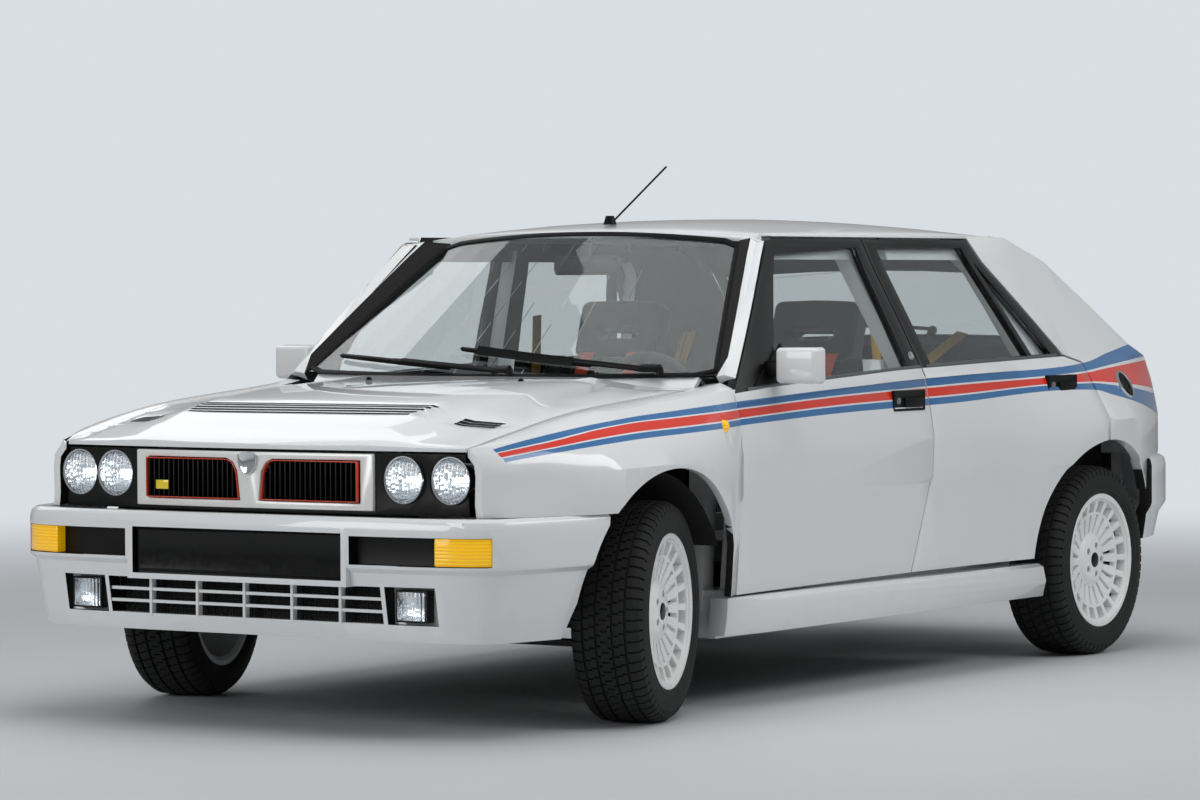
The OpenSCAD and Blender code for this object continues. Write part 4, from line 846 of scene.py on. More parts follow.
pick_faces(tyre, is_sipe)
bpy.ops.mesh.extrude_region_shrink_fatten(TRANSFORM_OT_shrink_fatten={"value": -0.0055})
bpy.ops.object.mode_set(mode="OBJECT")
bpy.ops.object.shade_smooth_by_angle(angle=math.radians(32))

# One of each goes to every corner; the front ones are steered to the car's left
for corner, turn in (("front_left", 16.4), ("front_right", 194.9), ("rear_left", 0.0), ("rear_right", 180.0)):
    low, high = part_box("tyre_" + corner)
    facing = Matrix.Rotation(math.radians(turn), 4, "Z") @ Matrix.Rotation(math.radians(90), 4, "Y")
    spot = Matrix.Translation((low + high) / 2) @ facing
    wheel = "wheel_" + corner
    fit(copy_of(rim, "cast_rim_" + corner, spot), None, wheel, "rim_paint", "rim_" + corner)
    fit(copy_of(bolts, "wheel_bolts_" + corner, spot), steel, wheel, "bare_steel")
    fit(copy_of(cap, "blank_centre_cap_" + corner, spot), gloss_black, wheel, "black_trim")
    fit(copy_of(tyre, "treaded_tyre_" + corner, spot), rubber, wheel, "tyre_rubber", "tyre_" + corner)
for piece in (rim, bolts, cap, tyre):
    bpy.data.objects.remove(piece)


# ---- Brakes, suspension and underside ----
# Cast iron discs with a machined face and grey carriers, steel suspension parts
# painted black, and a floor under grey-black sealant.
cast_iron = grained("machined cast iron", "#77736E", 0.0012, 0.00005, (0.3, 0.55), Metallic=1.0,
    Roughness=0.4)

chassis_black = grained("black chassis enamel", "#141414", 0.0025, 0.00015, (0.4, 0.7), Roughness=0.5)
sealant = grained("underbody sealant", "#1B1B1A", 0.005, 0.0006, (0.8, 0.95), 6.0, Roughness=0.9)
pipe_steel, tree, shader, place = new_finish("heat-tinted exhaust steel", Base_Color=colour("#8A8077"),
    Metallic=1.0, Roughness=0.38)
tint = add_grain(tree, shader, place, 0.05, 0.0001, (0.3, 0.5))
blend(tree, shader, tint.outputs[0], colour("#9A958F"), colour("#6E5F52"))
cast_alloy = grained("sand-cast aluminium", "#8E9092", 0.0015, 0.0001, (0.45, 0.65), Metallic=1.0,
    Roughness=0.55)
for finish, nodes in ((cast_iron, ("front_knuckle_left", "front_knuckle_right")), (sealant, ("floor_pan",)),
                      (chassis_black, ("front_suspension", "rear_axle", "front_frame", "boot_liner")),
                      (cast_alloy, ("engine_block",))):
    for node in nodes:
        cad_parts[node].data.materials.clear()
        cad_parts[node].data.materials.append(finish)

# Inner faces of the wings and arches carry the same sealant
rear_axle, wheel_height = 1.282, 0.293


def looks_in(face):
    """Whether a face of the body looks towards the car's middle plane."""
    return face.normal.x * math.copysign(1, face.center.x) < -0.3


def on_arch(face):
    """Whether a face belongs to the inside of a wheel arch."""
    middle = face.center
    ahead, above = middle.y - (front_axle if middle.y < 0 else rear_axle), middle.z - wheel_height
    if math.hypot(ahead, above) >= 0.42:
        return False
    faces_wheel = ahead * face.normal.y + above * face.normal.z < -0.15
    return looks_in(face) or (middle.z > 0.30 and abs(middle.x) < 0.84 and faces_wheel)


reface(bpy.data.objects["painted_front_wings"], sealant, lambda face: looks_in(face) or on_arch(face))
for name in ("painted_front_bumper", "painted_rear_bumper", "painted_body_sides"):
    reface(bpy.data.objects[name], sealant, on_arch)


# ---- Rubber seals ----
# Extruded rubber round the windscreen, and pressed grey strips along the waist
# under the side windows, laid on the skins where a straight line meets them.
seal_rubber = grained("extruded window rubber", "#0C0C0D", 0.0015, 0.00006, (0.45, 0.65), Roughness=0.55,
    Specular_IOR_Level=0.35)


def ribbon(name, route, facing, width, height, closed=False, smooth=40):
    """A strip of four-sided section along a route; facing gives the way its top looks at each place."""
    count = len(route)
    points, faces = [], []
    for i, spot in enumerate(route):
        ahead = route[(i + 1) % count] if closed or i < count - 1 else spot
        behind = route[i - 1] if closed or i else spot
        up = Vector(facing[i] if isinstance(facing, list) else facing).normalized()
        aside = (Vector(ahead) - Vector(behind)).cross(up).normalized() * (width / 2)
        rise = up * height
        points += [Vector(spot) - aside, Vector(spot) - aside + rise * 0.7,
            Vector(spot) - aside * 0.64 + rise, Vector(spot) + aside * 0.64 + rise,
            Vector(spot) + aside + rise * 0.7, Vector(spot) + aside]
    for i in range(count if closed else count - 1):
        j = (i + 1) % count
        for k in range(6):
            m = (k + 1) % 6
            faces.append((6 * i + k, 6 * i + m, 6 * j + m, 6 * j + k))
    if not closed:
        faces += [tuple(range(5, -1, -1)), tuple(range(6 * count - 6, 6 * count))]
    piece = meshed(name, [tuple(spot) for spot in points], [], faces)
    take_up(piece)
    bpy.ops.object.mode_set(mode="EDIT")
    bpy.ops.mesh.select_all(action="SELECT")
    bpy.ops.mesh.normals_make_consistent(inside=False)
    bpy.ops.object.mode_set(mode="OBJECT")
    bpy.ops.object.shade_smooth_by_angle(angle=math.radians(smooth))
    return piece


def screen_place(across_part, up_part, out=0.0):
    """A place on the windscreen, with both parts from edge to edge, and how far out of it."""
    t, s = across_part, up_part
    low = Vector((0.707 * t, -0.830 + 0.106 * t * t, 0.902 + 0.008 * t * t))
    high = Vector((0.507 * t, -0.335 + 0.050 * t * t, 1.308 - 0.028 * t * t))
    return low.lerp(high, s) + Vector((0, -0.64 * out, 0.77 * out + 0.010 * s * (1 - s)))


border = [(-1 + i / 12, 0.0) for i in range(1, 24)] + [(1.0, 0.03 + i * 0.0775) for i in range(13)]
border += [(1 - i / 12, 0.99) for i in range(1, 24)] + [(-1.0, 0.96 - i * 0.0775) for i in range(13)]
screen_seal = ribbon("windscreen_seal", [screen_place(t * 0.992, s, -0.003) for t, s in border],
    (0, -0.64, 0.77), 0.017, 0.0042, True)
fit(screen_seal, seal_rubber, "root", "black_trim")


def side_glass_x(y, z):
    """Places across the car of the side windows' plane."""
    low = 0.7850
    top = 0.632 - 0.075 * max(0.0, y - 1.002)
    t = min(1.0, max(0.0, (z - waist_height(y)) / (1.286 - waist_height(y))))
    return low + (top - low) * t + 0.010 * t * (1 - t)


plain_skins = {}


def found_on(node, start, way):
    """Where a straight line from a point meets a plain part, and how the skin faces there."""
    if node not in plain_skins:
        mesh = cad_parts[node].data
        plain_skins[node] = BVHTree.FromPolygons([corner.co.copy() for corner in mesh.vertices],
            [face.vertices[:] for face in mesh.polygons])
    return plain_skins[node].ray_cast(Vector(start), Vector(way))[:2]


def from_beside(node, sign, y, z):
    """Where a part is met from well outside the car's left (1) or right (-1) side."""
    return found_on(node, (sign * 1.2, y, z), (-sign, 0, 0))


def from_above(node, x, y):
    """Where a part is met from over the roof."""
    return found_on(node, (x, y, 2.0), (0, 0, -1))


def from_behind(node, x, z):
    """Where a part is met from well behind the car."""
    return found_on(node, (x, 3.0, z), (0, -1, 0))


pressed_grey = grained("satin grey aluminium strip", "#85888A", 0.001, 0.00002, (0.3, 0.45), Metallic=0.9,
    Roughness=0.38)
for end, y0, y1 in (("front", -0.690, 0.268), ("rear", 0.300, 1.180)):
    for side, sign in (("left", 1), ("right", -1)):
        places = [y0 + (y1 - y0) * i / 16 for i in range(17)]
        route = [from_beside(f"{end}_door_{side}", sign, y, waist_height(y) + 0.004)[0] for y in places]
        route = [spot - Vector((sign * 0.001, 0, 0)) for spot in route if spot]
        strip = ribbon(f"waist_strip_{end}_{side}", route, (sign, 0, 0.25), 0.010, 0.0045)
        fit(strip, pressed_grey, f"door_{end}_{side}", "black_trim")


# ---- Door mirrors ----
# White shells with rounded corners on a black arm, over the black corner plate
# of the window, with silvered glass at the back.
silvered = grained("silvered mirror glass", "#E8EAEC", 0.05, 0.000002, (0.02, 0.05), Metallic=1.0,
    Roughness=0.03)
for side, sign in (("left", 1), ("right", -1)):
    node = f"door_mirror_{side}"
    low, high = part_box(node)
    inner = sign * 0.806
    outer = high.x if sign > 0 else low.x
    shell = block(f"mirror_shell_{side}", (min(inner, outer), -0.586, 0.880),
        (max(inner, outer), -0.524, 0.982))
    bpy.ops.object.mode_set(mode="EDIT")
    bpy.ops.mesh.select_mode(type="VERT")
    bpy.ops.mesh.select_all(action="DESELECT")
    bpy.ops.object.mode_set(mode="OBJECT")
    for corner in shell.data.vertices:
        corner.select = corner.co.y < -0.56
    bpy.ops.object.mode_set(mode="EDIT")
    bpy.ops.transform.resize(value=(0.98, 1, 0.95), center_override=((inner + outer) / 2, -0.586, 0.934))
    bpy.ops.object.mode_set(mode="OBJECT")
    soften(shell, 0.013, 60, 5)
    fit(shell, white_paint, f"door_front_{side}", "body_paint", node)
    glass = rounded(f"mirror_glass_{side}", (min(inner, outer) + 0.012, -0.526, 0.892),
        (max(inner, outer) - 0.012, -0.5225, 0.970), 0.0012, 2, 30)
    fit(glass, silvered, f"door_front_{side}", "window_glass")
    arm = rounded(f"mirror_arm_{side}", (min(sign * 0.765, sign * 0.820), -0.580, 0.895),
        (max(sign * 0.765, sign * 0.820), -0.532, 0.945), 0.010, 4, 50)
    corner = [(-0.655, 0.876), (-0.480, 0.883), (-0.480, 0.930), (-0.452, 0.975), (-0.462, 0.990)]
    plate = plate_of("corner plate", [(sign * (side_glass_x(y, z) - 0.001), y, z) for y, z in corner],
        (sign * 0.008, 0, 0))
    soften(plate, 0.003, 40, 3)
    fit(joined(f"mirror_mount_{side}", [arm, plate]), black_plastic, f"door_front_{side}", "black_trim")


# ---- Door handles, fuel cap, pillar discs and side repeaters ----
# Black pull handles set flush in the skins, with a key barrel; a black filler cap
# with a bright ring behind the left rear door; blank discs on the pillars, and
# small amber lamps on the front wings.
for end, y0, y1, z0, z1 in (("front", 0.078, 0.258, 0.786, 0.846), ("rear", 0.995, 1.160, 0.812, 0.872)):
    for side, sign in (("left", 1), ("right", -1)):
        def skin_x(y):
            """How far out the door's skin is at the handle's height."""
            return abs(from_beside(f"{end}_door_{side}", sign, y, (z0 + z1) / 2)[0].x)

        base = skin_x((y0 + y1) / 2)
        slope = (skin_x(y1 - 0.01) - skin_x(y0 + 0.01)) / (y1 - y0 - 0.02)
        plate = block("handle plate", (base - 0.010, y0, z0), (base + 0.0065, y1, z1))
        pick_faces(plate, lambda face: face.normal.x > 0.9)
        bpy.ops.mesh.inset(thickness=0.008)
        bpy.ops.transform.translate(value=(-0.0045, 0, 0))
        bpy.ops.object.mode_set(mode="OBJECT")
        soften(plate, 0.0028, 40, 3)
        flap = rounded("handle flap", (base - 0.002, y0 + 0.062, z0 + 0.011),
            (base + 0.0085, y1 - 0.011, z1 - 0.022), 0.004, 3, 50)
        barrel = turned("key barrel", [(0.0, 0.0025), (0.0060, 0.0025), (0.0070, 0.0040),
            (0.0095, 0.0045), (0.0105, 0.0030), (0.0105, -0.006), (0.0, -0.006)],
            (base, y0 + 0.030, (z0 + z1) / 2), (1, 0, 0), 28)
        parts = [plate, flap]
        for part in parts + [barrel]:
            for corner in part.data.vertices:
                corner.co.x += slope * (corner.co.y - (y0 + y1) / 2)
            if sign < 0:
                part.data.transform(mirror_x)
                part.data.flip_normals()
        fit(joined(f"pull_handle_{end}_{side}", parts), black_plastic, f"door_{end}_{side}", "black_trim")
        fit(joined(f"key_barrel_{end}_{side}", [barrel]), steel, f"door_{end}_{side}", "bare_steel")

spot, facing = from_beside("body_sides", 1, 1.500, 0.833)
if spot:
    filler = turned("filler_cap", [(0.0, 0.0035), (0.0200, 0.0035), (0.0225, 0.0065), (0.0310, 0.0065),
        (0.0340, 0.0035), (0.0400, 0.0030), (0.0400, -0.004), (0.0, -0.004)], spot, facing, 56)
    ring = turned("filler_ring", [(0.0400, 0.0020), (0.0420, 0.0060), (0.0465, 0.0060), (0.0485, 0.0020),
        (0.0485, -0.004), (0.0400, -0.004), (0.0400, 0.0020)], spot, facing, 56)
    fit(filler, black_plastic, "root", "black_trim")
    fit(ring, bright_metal, "root", "grille_metal")
for side, sign in (("left", 1), ("right", -1)):
    spot, facing = from_beside(f"front_door_{side}", sign, 0.234, 0.944)
    if spot:
        disc = turned(f"pillar_disc_{side}", [(0.0, 0.0022), (0.0085, 0.0022), (0.0095, 0.0034),
            (0.0125, 0.0034), (0.0135, 0.0016), (0.0135, -0.003), (0.0, -0.003)], spot, facing, 36)
        fit(disc, bright_metal, f"door_front_{side}", "grille_metal")

for side, sign in (("left", 1), ("right", -1)):
    spot, facing = Vector((sign * 0.8300, -0.880, 0.773)), Vector((sign, -0.20, 0.1))
    dome = turned(f"side_repeater_{side}", [(0.0, 0.0105), (0.0070, 0.0095), (0.0130, 0.0065),
        (0.0168, 0.0015), (0.0168, -0.004), (0.0, -0.004)], spot, facing, 32, 60)
    fit(dome, amber, "root", "amber_lens")


# ---- Bonnet louvres and washer jets ----
# The slot walls are painted black and a black tray lies under them, as painted
# shade for the dark seen down the slots; two small black jets stand behind them.
def is_slot_wall(face):
    """Whether a face of the bonnet is a wall of the middle louvres or of the small ones beside them."""
    middle = face.center
    main = abs(middle.x) < 0.42 and -1.690 < middle.y < -1.572
    small = 0.485 < abs(middle.x) < 0.625 and -1.675 < middle.y < -1.570
    return (main or small) and abs(face.normal.z) < 0.75


# black slot walls: painted shade, not the bonnet's own colour
reface(bpy.data.objects["painted_bonnet"], black_plastic, is_slot_wall)
# the trays: dark sheets 13 mm under the slots, standing in for the shade below them
trays = []
for x0, x1, y0, y1 in ((-0.410, 0.410, -1.690, -1.574), (0.488, 0.622, -1.672, -1.590),
                       (-0.622, -0.488, -1.672, -1.590)):
    for i in range(12):
        xa, xb = x0 + (x1 - x0) * i / 12, x0 + (x1 - x0) * (i + 1) / 12
        near = from_above("bonnet", (xa + xb) / 2, y0 - 0.006)[0]
        away = from_above("bonnet", (xa + xb) / 2, y1 + 0.006)[0]
        if near and away:
            tray = block("tray", (xa, y0, -0.0015), (xb, y1, 0.0015))
            for corner in tray.data.vertices:
                part = (corner.co.y - y0) / (y1 - y0)
                corner.co.z += near.z + (away.z - near.z) * part - 0.013
            trays.append(tray)
fit(joined("louvre_trays", trays), black_plastic, "bonnet_lid", "black_trim")
blades = []
louvre_pitch, blade_width, blade_height = 0.022, 0.0066, 0.0009
for slot in range(4):
    y = -1.682 + louvre_pitch * slot + 0.0155
    half = 0.370 + 0.007 * slot
    route = [from_above("bonnet", half * (i / 10 - 1), y) for i in range(21)]
    blades.append(ribbon("blade", [spot for spot, facing in route], [facing for spot, facing in route],
        blade_width, blade_height))
for sign in (-1, 1):
    turn = math.radians(12 * sign)
    for slot in range(2):
        route = []
        for i in range(7):
            along_x = -0.056 + 0.112 * i / 6
            x = sign * 0.555 + along_x * math.cos(turn)
            y = -1.639 + louvre_pitch * slot + along_x * math.sin(turn)
            route.append(from_above("bonnet", x, y))
        route = [pair for pair in route if pair[0] and pair[0].z > 0.76]
        if len(route) > 2:
            blades.append(ribbon("blade", [spot for spot, facing in route],
                [facing for spot, facing in route], blade_width, blade_height))
fit(joined("louvre_blades", blades), black_plastic, "bonnet_lid", "black_trim")
for side, sign in (("left", 1), ("right", -1)):
    spot, facing = from_above("bonnet", sign * 0.260, -1.020)
    jet = turned(f"washer_jet_{side}", [(0.0, 0.0085), (0.0040, 0.0080), (0.0065, 0.0050),
        (0.0090, 0.0012), (0.0090, -0.003), (0.0, -0.003)], spot, facing, 20)
    fit(jet, black_plastic, "bonnet_lid", "black_trim")


# ---- Wipers ----
# Two black steel arms on spring knuckles, each with a bowed blade and its
# rubber; the driver's blade carries an air deflector.
wiper_pieces = []
for pivot, rise, deflector in ((0.100, 0.10, False), (0.560, 0.16, True)):
    def along(part, out):
        """A place over the screen, by the share of the arm's reach and the height above the glass."""
        x = pivot - 0.690 * part
        s = rise * part
        return screen_place(x / (0.707 - 0.200 * s), s, out)

    up = Vector((0, -0.64, 0.77))
    root_spot = screen_place(pivot / 0.707, 0.0, 0.010) + Vector((0, -0.014, 0.004))
    wiper_pieces.append(turned("spindle", [(0.0, 0.0120), (0.0080, 0.0110), (0.0110, 0.0070),
        (0.0120, -0.012), (0.0, -0.012)], root_spot, (0, 0, 1), 24))
    arm = [root_spot + Vector((0, 0, 0.004)), along(0.10, 0.0135), along(0.25, 0.015),
        along(0.42, 0.0155), along(0.60, 0.0155)]
    wiper_pieces.append(ribbon("arm", arm, up, 0.0165, 0.0085))
    wiper_pieces.append(ribbon("knuckle", [arm[0], arm[0].lerp(arm[1], 0.9)], up, 0.026, 0.0110))
    wiper_pieces.append(ribbon("yoke",
                               [along(0.36 + 0.064 * i, 0.0085 + 0.0045 * math.sin(math.pi * i / 10))
                                for i in range(11)],
                               up, 0.0105, 0.0065))
    wiper_pieces.append(ribbon("claw", [along(0.585, 0.0125), along(0.655, 0.0125)], up, 0.017, 0.0065))
    wiper_pieces.append(ribbon("blade", [along(0.33 + 0.067 * i, 0.0035) for i in range(11)], up, 0.0070,
                               0.0055))
    if deflector:
        wiper_pieces.append(ribbon("deflector", [along(0.40 + 0.055 * i, 0.0150) - Vector((0, 0.012, 0))
                                                 for i in range(10)],
                                   (0, -0.9, 0.35), 0.026, 0.0022))
fit(joined("wiper_arms_and_blades", wiper_pieces), black_plastic, "root", "black_trim", "wipers")
fit(pressing("aerial", "roof_aerial", 0.0008), black_plastic, "root", "black_trim", "aerial")


# ---- Tail lamps ----
# Moulded acrylic in three colours: amber outside, a clear reversing window, and
# red, with 6 mm ribs behind the smooth face.
tail_acrylic, tree, shader, place = new_finish("ribbed red and amber acrylic", Roughness=0.1,
    Coat_Weight=0.8, IOR=1.49)
spread = add_node(tree, "ShaderNodeSeparateXYZ", {}, {"Vector": place.outputs["Object"]})
far = add_node(tree, "ShaderNodeMath", {"operation": "ABSOLUTE"}, {0: spread.outputs[0]})
bands = add_node(tree, "ShaderNodeValToRGB", {}, {0: far.outputs[0]})
bands.color_ramp.interpolation = "CONSTANT"
bands.color_ramp.elements[0].position = 0.0
bands.color_ramp.elements[0].color = colour("#D9D2CC")
bands.color_ramp.elements[1].position = 0.535
bands.color_ramp.elements[1].color = colour("#B8121A")
amber_band = bands.color_ramp.elements.new(0.640)
amber_band.color = colour("#E07A10")
tree.links.new(bands.outputs[0], shader.inputs["Base Color"])
ribs = add_ribs(tree, place, "Z", 0.006)
raise_surface(tree, shader, ribs.outputs[1], 0.0008, 0.7)
fit(pressing("tail_lamps", "moulded_tail_lamps", 0.004, 40), tail_acrylic, "root", "red_lens",
    "tail_lamps")


# ---- Door cards' fittings ----
# Moulded armrests with a pull, a latch lever in its cup, a window winder and a
# round loudspeaker cover, screwed through the vinyl card into the door.
for side, out in (("left", 1), ("right", -1)):
    for door, body, arm_y, lever_y, winder_y, speaker_y in (
            ("front_door", "door_front_", (-0.440, -0.060), -0.520, -0.330, -0.560),
            ("rear_door", "door_rear_", (0.410, 0.720), 0.350, 0.530, None)):
        node = f"{door}_{side}"

        def card(y, z):
            """Where the door's inner card is, at a place along the car and a height."""
            return found_on(node, (0, y, z), (out, 0, 0))[0]

        rest = [card(y, 0.600) for y in arm_y]
        pieces = []
        if all(rest):
            deep = min(abs(spot.x) for spot in rest)
            low_x, high_x = sorted((out * (deep - 0.052), out * (deep + 0.006)))
            pieces.append(rounded("arm", (low_x, arm_y[0], 0.570), (high_x, arm_y[1], 0.622), 0.014, 5))
            low_x, high_x = sorted((out * (deep - 0.040), out * (deep + 0.006)))
            pieces.append(rounded("pull", (low_x, arm_y[0] + 0.020, 0.618),
                (high_x, arm_y[0] + 0.050, 0.700), 0.010))
        spot = card(lever_y, 0.735)
        if spot:
            pieces.append(turned("cup", [(0.0, 0.0010), (0.022, 0.0010), (0.026, 0.0050), (0.031, 0.0050),
                (0.033, -0.003), (0.0, -0.003)], spot, (-out, 0, 0), 32))
            low_x, high_x = sorted((spot.x - out * 0.012, spot.x + out * 0.002))
            pieces.append(rounded("lever", (low_x, lever_y - 0.006, 0.729),
                (high_x, lever_y + 0.040, 0.741), 0.004))
        spot = card(winder_y, 0.490)
        if spot:
            pieces.append(turned("winder_boss", [(0.0, 0.016), (0.014, 0.016), (0.018, 0.012),
                (0.024, -0.002), (0.0, -0.002)], spot, (-out, 0, 0), 28))
            low_x, high_x = sorted((spot.x - out * 0.020, spot.x - out * 0.010))
            pieces.append(rounded("crank", (low_x, winder_y - 0.008, 0.395),
                                  (high_x, winder_y + 0.008, 0.494), 0.0035, 3))
            pieces.append(turned("knob", [(0.0, 0.048), (0.009, 0.047), (0.012, 0.042), (0.010, 0.018),
                                          (0.0, 0.018)], (spot.x, winder_y, 0.402), (-out, 0, 0), 24))
        spot = card(speaker_y, 0.420) if speaker_y is not None else None
        if spot:
            pieces.append(turned("speaker_rim", [(0.0, 0.003), (0.058, 0.006), (0.064, 0.010),
                (0.070, 0.010), (0.074, 0.002), (0.074, -0.004), (0.0, -0.004)], spot, (-out, 0, 0), 48))
            for i in range(5):
                inner = 0.010 + 0.010 * i
                pieces.append(turned("speaker_ring", [(inner, 0.003), (inner + 0.002, 0.008),
                    (inner + 0.006, 0.008), (inner + 0.008, 0.003), (inner, 0.003)], spot, (-out, 0, 0),
                    40))
        if pieces:
            fit(joined(f"{node}_card_fittings", pieces), black_plastic, body + side, "dash_plastic")


# ---- Cabin trim ----
# Charcoal vinyl inside the doors and the tailgate, grey cloth headlining under the
# roof, and the dark sealant on the inner sides of the body.
vinyl = grained("charcoal embossed vinyl", "#1F2022", 0.0022, 0.00012, (0.5, 0.7), Roughness=0.6,
    Specular_IOR_Level=0.35)
headlining = grained("grey knitted headlining", "#6F7172", 0.0009, 0.00015, (0.9, 1.0), Roughness=0.95,
    Sheen_Weight=0.3)

for side, sign in (("left", 1), ("right", -1)):
    for end in ("front", "rear"):
        reface(bpy.data.objects[f"painted_{end}_door_{side}"], vinyl,
               lambda face: face.normal.x * sign < -0.4)
reface(bpy.data.objects["painted_body_sides"], sealant, lambda face: looks_in(face) and (
    face.center.z > 0.22 and abs(face.center.x) < 0.78 and face.center.y > -0.70))
reface(bpy.data.objects["painted_roof_panel"], headlining, lambda face: face.normal.z < -0.3)
reface(bpy.data.objects["painted_tailgate"], vinyl,
       lambda face: face.normal.z < -0.3 or face.normal.y < -0.6)

# Dashboard: moulded in one piece with a soft skin, with round dials under the
# hood, louvred vents, and the gear lever on the tunnel
soft_skin = grained("soft foamed dashboard skin", "#17181A", 0.0016, 0.00018, (0.55, 0.75),
    Roughness=0.65, Specular_IOR_Level=0.3)
fit(pressing("dashboard", "moulded_dashboard", 0.007, 40), soft_skin, "root", "dash_plastic", "dashboard")

dial_face, tree, shader, place = new_finish("printed dial face", Base_Color=colour("#101214"),
    Roughness=0.35)
rays = add_node(tree, "ShaderNodeTexVoronoi", {}, {"Vector": place.outputs["Object"], "Scale": 1 / 0.006})
marks = add_node(tree, "ShaderNodeMapRange", {}, {"Value": rays.outputs[0], "From Min": 0.12,
    "From Max": 0.16, "To Min": 1.0, "To Max": 0.0})
blend(tree, shader, marks.outputs[0], colour("#101214"), colour("#C9A24A"))
dials, rings = [], []
for x, z, radius in ((0.300, 0.868, 0.020), (0.345, 0.866, 0.026), (0.402, 0.866, 0.026),
                     (0.448, 0.868, 0.018)):
    glass_radius, centre = radius * 0.9, (x, -0.5615, z - 0.004)
    dials.append(turned("dial", [(0.0, 0.0012), (glass_radius, 0.0012), (glass_radius, -0.004),
        (0.0, -0.004)], centre, (0, 1, 0), 36))
    rings.append(turned("ring", [(glass_radius, 0.0005), (radius * 0.93, 0.0035), (radius, 0.0030),
        (radius, -0.004), (glass_radius, -0.004), (glass_radius, 0.0005)], centre, (0, 1, 0), 36))
fit(joined("blank_dials", dials), dial_face, "root", "dash_plastic")
fit(joined("dial_rings", rings), bright_metal, "root", "grille_metal")
vents = []
for x in (-0.560, -0.060, 0.060, 0.560):
    vents.append(block("vent", (x - 0.048, -0.5600, 0.758), (x + 0.048, -0.5530, 0.806)))
    for i in range(5):
        vents.append(block("vane", (x - 0.043, -0.5535, 0.7630 + i * 0.009),
            (x + 0.043, -0.5480, 0.7655 + i * 0.009)))
vents.append(block("console", (-0.095, -0.620, 0.470), (0.095, -0.585, 0.700)))
vents.append(block("tunnel", (-0.085, -0.700, 0.2185), (0.085, 0.330, 0.330)))
vents = joined("vents_and_tunnel", vents)
soften(vents, 0.0012)
fit(vents, black_plastic, "root", "dash_plastic")
lever = turned("gear_lever", [(0.0, 0.215), (0.012, 0.213), (0.020, 0.203), (0.022, 0.190),
    (0.016, 0.178), (0.007, 0.170), (0.006, 0.080), (0.016, 0.070), (0.028, 0.040), (0.042, 0.0),
    (0.0, 0.0)], (0.0, -0.330, 0.331), (0, 0.12, 1), 32)
leather, tree, shader, place = new_finish("black grained leather", Base_Color=colour("#131314"),
    Roughness=0.48, Specular_IOR_Level=0.4)
creases = add_node(tree, "ShaderNodeTexVoronoi", {"feature": "DISTANCE_TO_EDGE"},
    {"Vector": place.outputs["Object"], "Scale": 1 / 0.0022})
raise_surface(tree, shader, creases.outputs[0], 0.0006, 0.6)
fit(lever, leather, "root", "dash_plastic")
fit(pressing("steering_wheel", "stitched_steering_wheel", 0.003, 50), leather, "steering", "dash_plastic",
    "steering_wheel")

# Inside mirror on its stalk, from the roof's front edge
cabin_mirror = rounded("mirror case", (-0.112, -0.322, 1.182), (0.112, -0.296, 1.238), 0.011, 4, 60)
stalk = turned("stalk", [(0.0, 0.0), (0.009, 0.0), (0.007, 0.040), (0.011, 0.078), (0.0, 0.078)],
    (0, -0.300, 1.228), (0, 0.15, 1), 20)
fit(joined("cabin_mirror", [cabin_mirror, stalk]), black_plastic, "root", "black_trim")


# ---- Seats ----
# Foam cushions under charcoal cloth: bucket seats in front with raised side
# bolsters and a slotted head part, on steel runners, and a bench behind.
seat_cloth, tree, shader, place = new_finish("charcoal woven seat cloth", Base_Color=colour("#232426"),
    Roughness=0.92, Sheen_Weight=0.35, Sheen_Roughness=0.5)
warp = add_ribs(tree, place, "X", 0.0028, 0.6)
weft = add_ribs(tree, place, "Z", 0.0028, 0.6)
weave = add_node(tree, "ShaderNodeMath", {"operation": "MULTIPLY"},
    {0: warp.outputs[1], 1: weft.outputs[1]})
raise_surface(tree, shader, weave.outputs[0], 0.0005, 0.8)
blend(tree, shader, weave.outputs[0], colour("#1A1B1D"), colour("#333538"))

suede = grained("black brushed suede", "#151515", 0.004, 0.0001, (0.88, 1.0), Roughness=0.95,
    Sheen_Weight=0.5)


def cushion(name, low, high, swell, spot=Matrix.Identity(4)):
    """A stuffed block: its sides swell, its corners pull in, and its edges are round."""
    piece = block(name, low, high)
    bpy.ops.object.mode_set(mode="EDIT")
    bpy.ops.mesh.select_all(action="SELECT")
    bpy.ops.mesh.subdivide(number_cuts=5)
    bpy.ops.object.mode_set(mode="OBJECT")
    middle = (Vector(low) + Vector(high)) / 2
    piece.data.transform(Matrix.Translation(-middle))
    cast = piece.modifiers.new("stuffing", "CAST")
    cast.factor = swell
    round_off = piece.modifiers.new("roundness", "SUBSURF")
    round_off.levels = round_off.render_levels = 2
    for modifier in (cast, round_off):
        bpy.ops.object.modifier_apply(modifier=modifier.name)
    piece.data.transform(spot @ Matrix.Translation(middle))
    bpy.ops.object.shade_smooth()
    return piece


def seat_back_frame(x):
    """Where a front seat's back stands on its hinge, and how it leans."""
    return Matrix.Translation((x, 0.172, 0.412)) @ Matrix.Rotation(math.radians(-17), 4, "X")


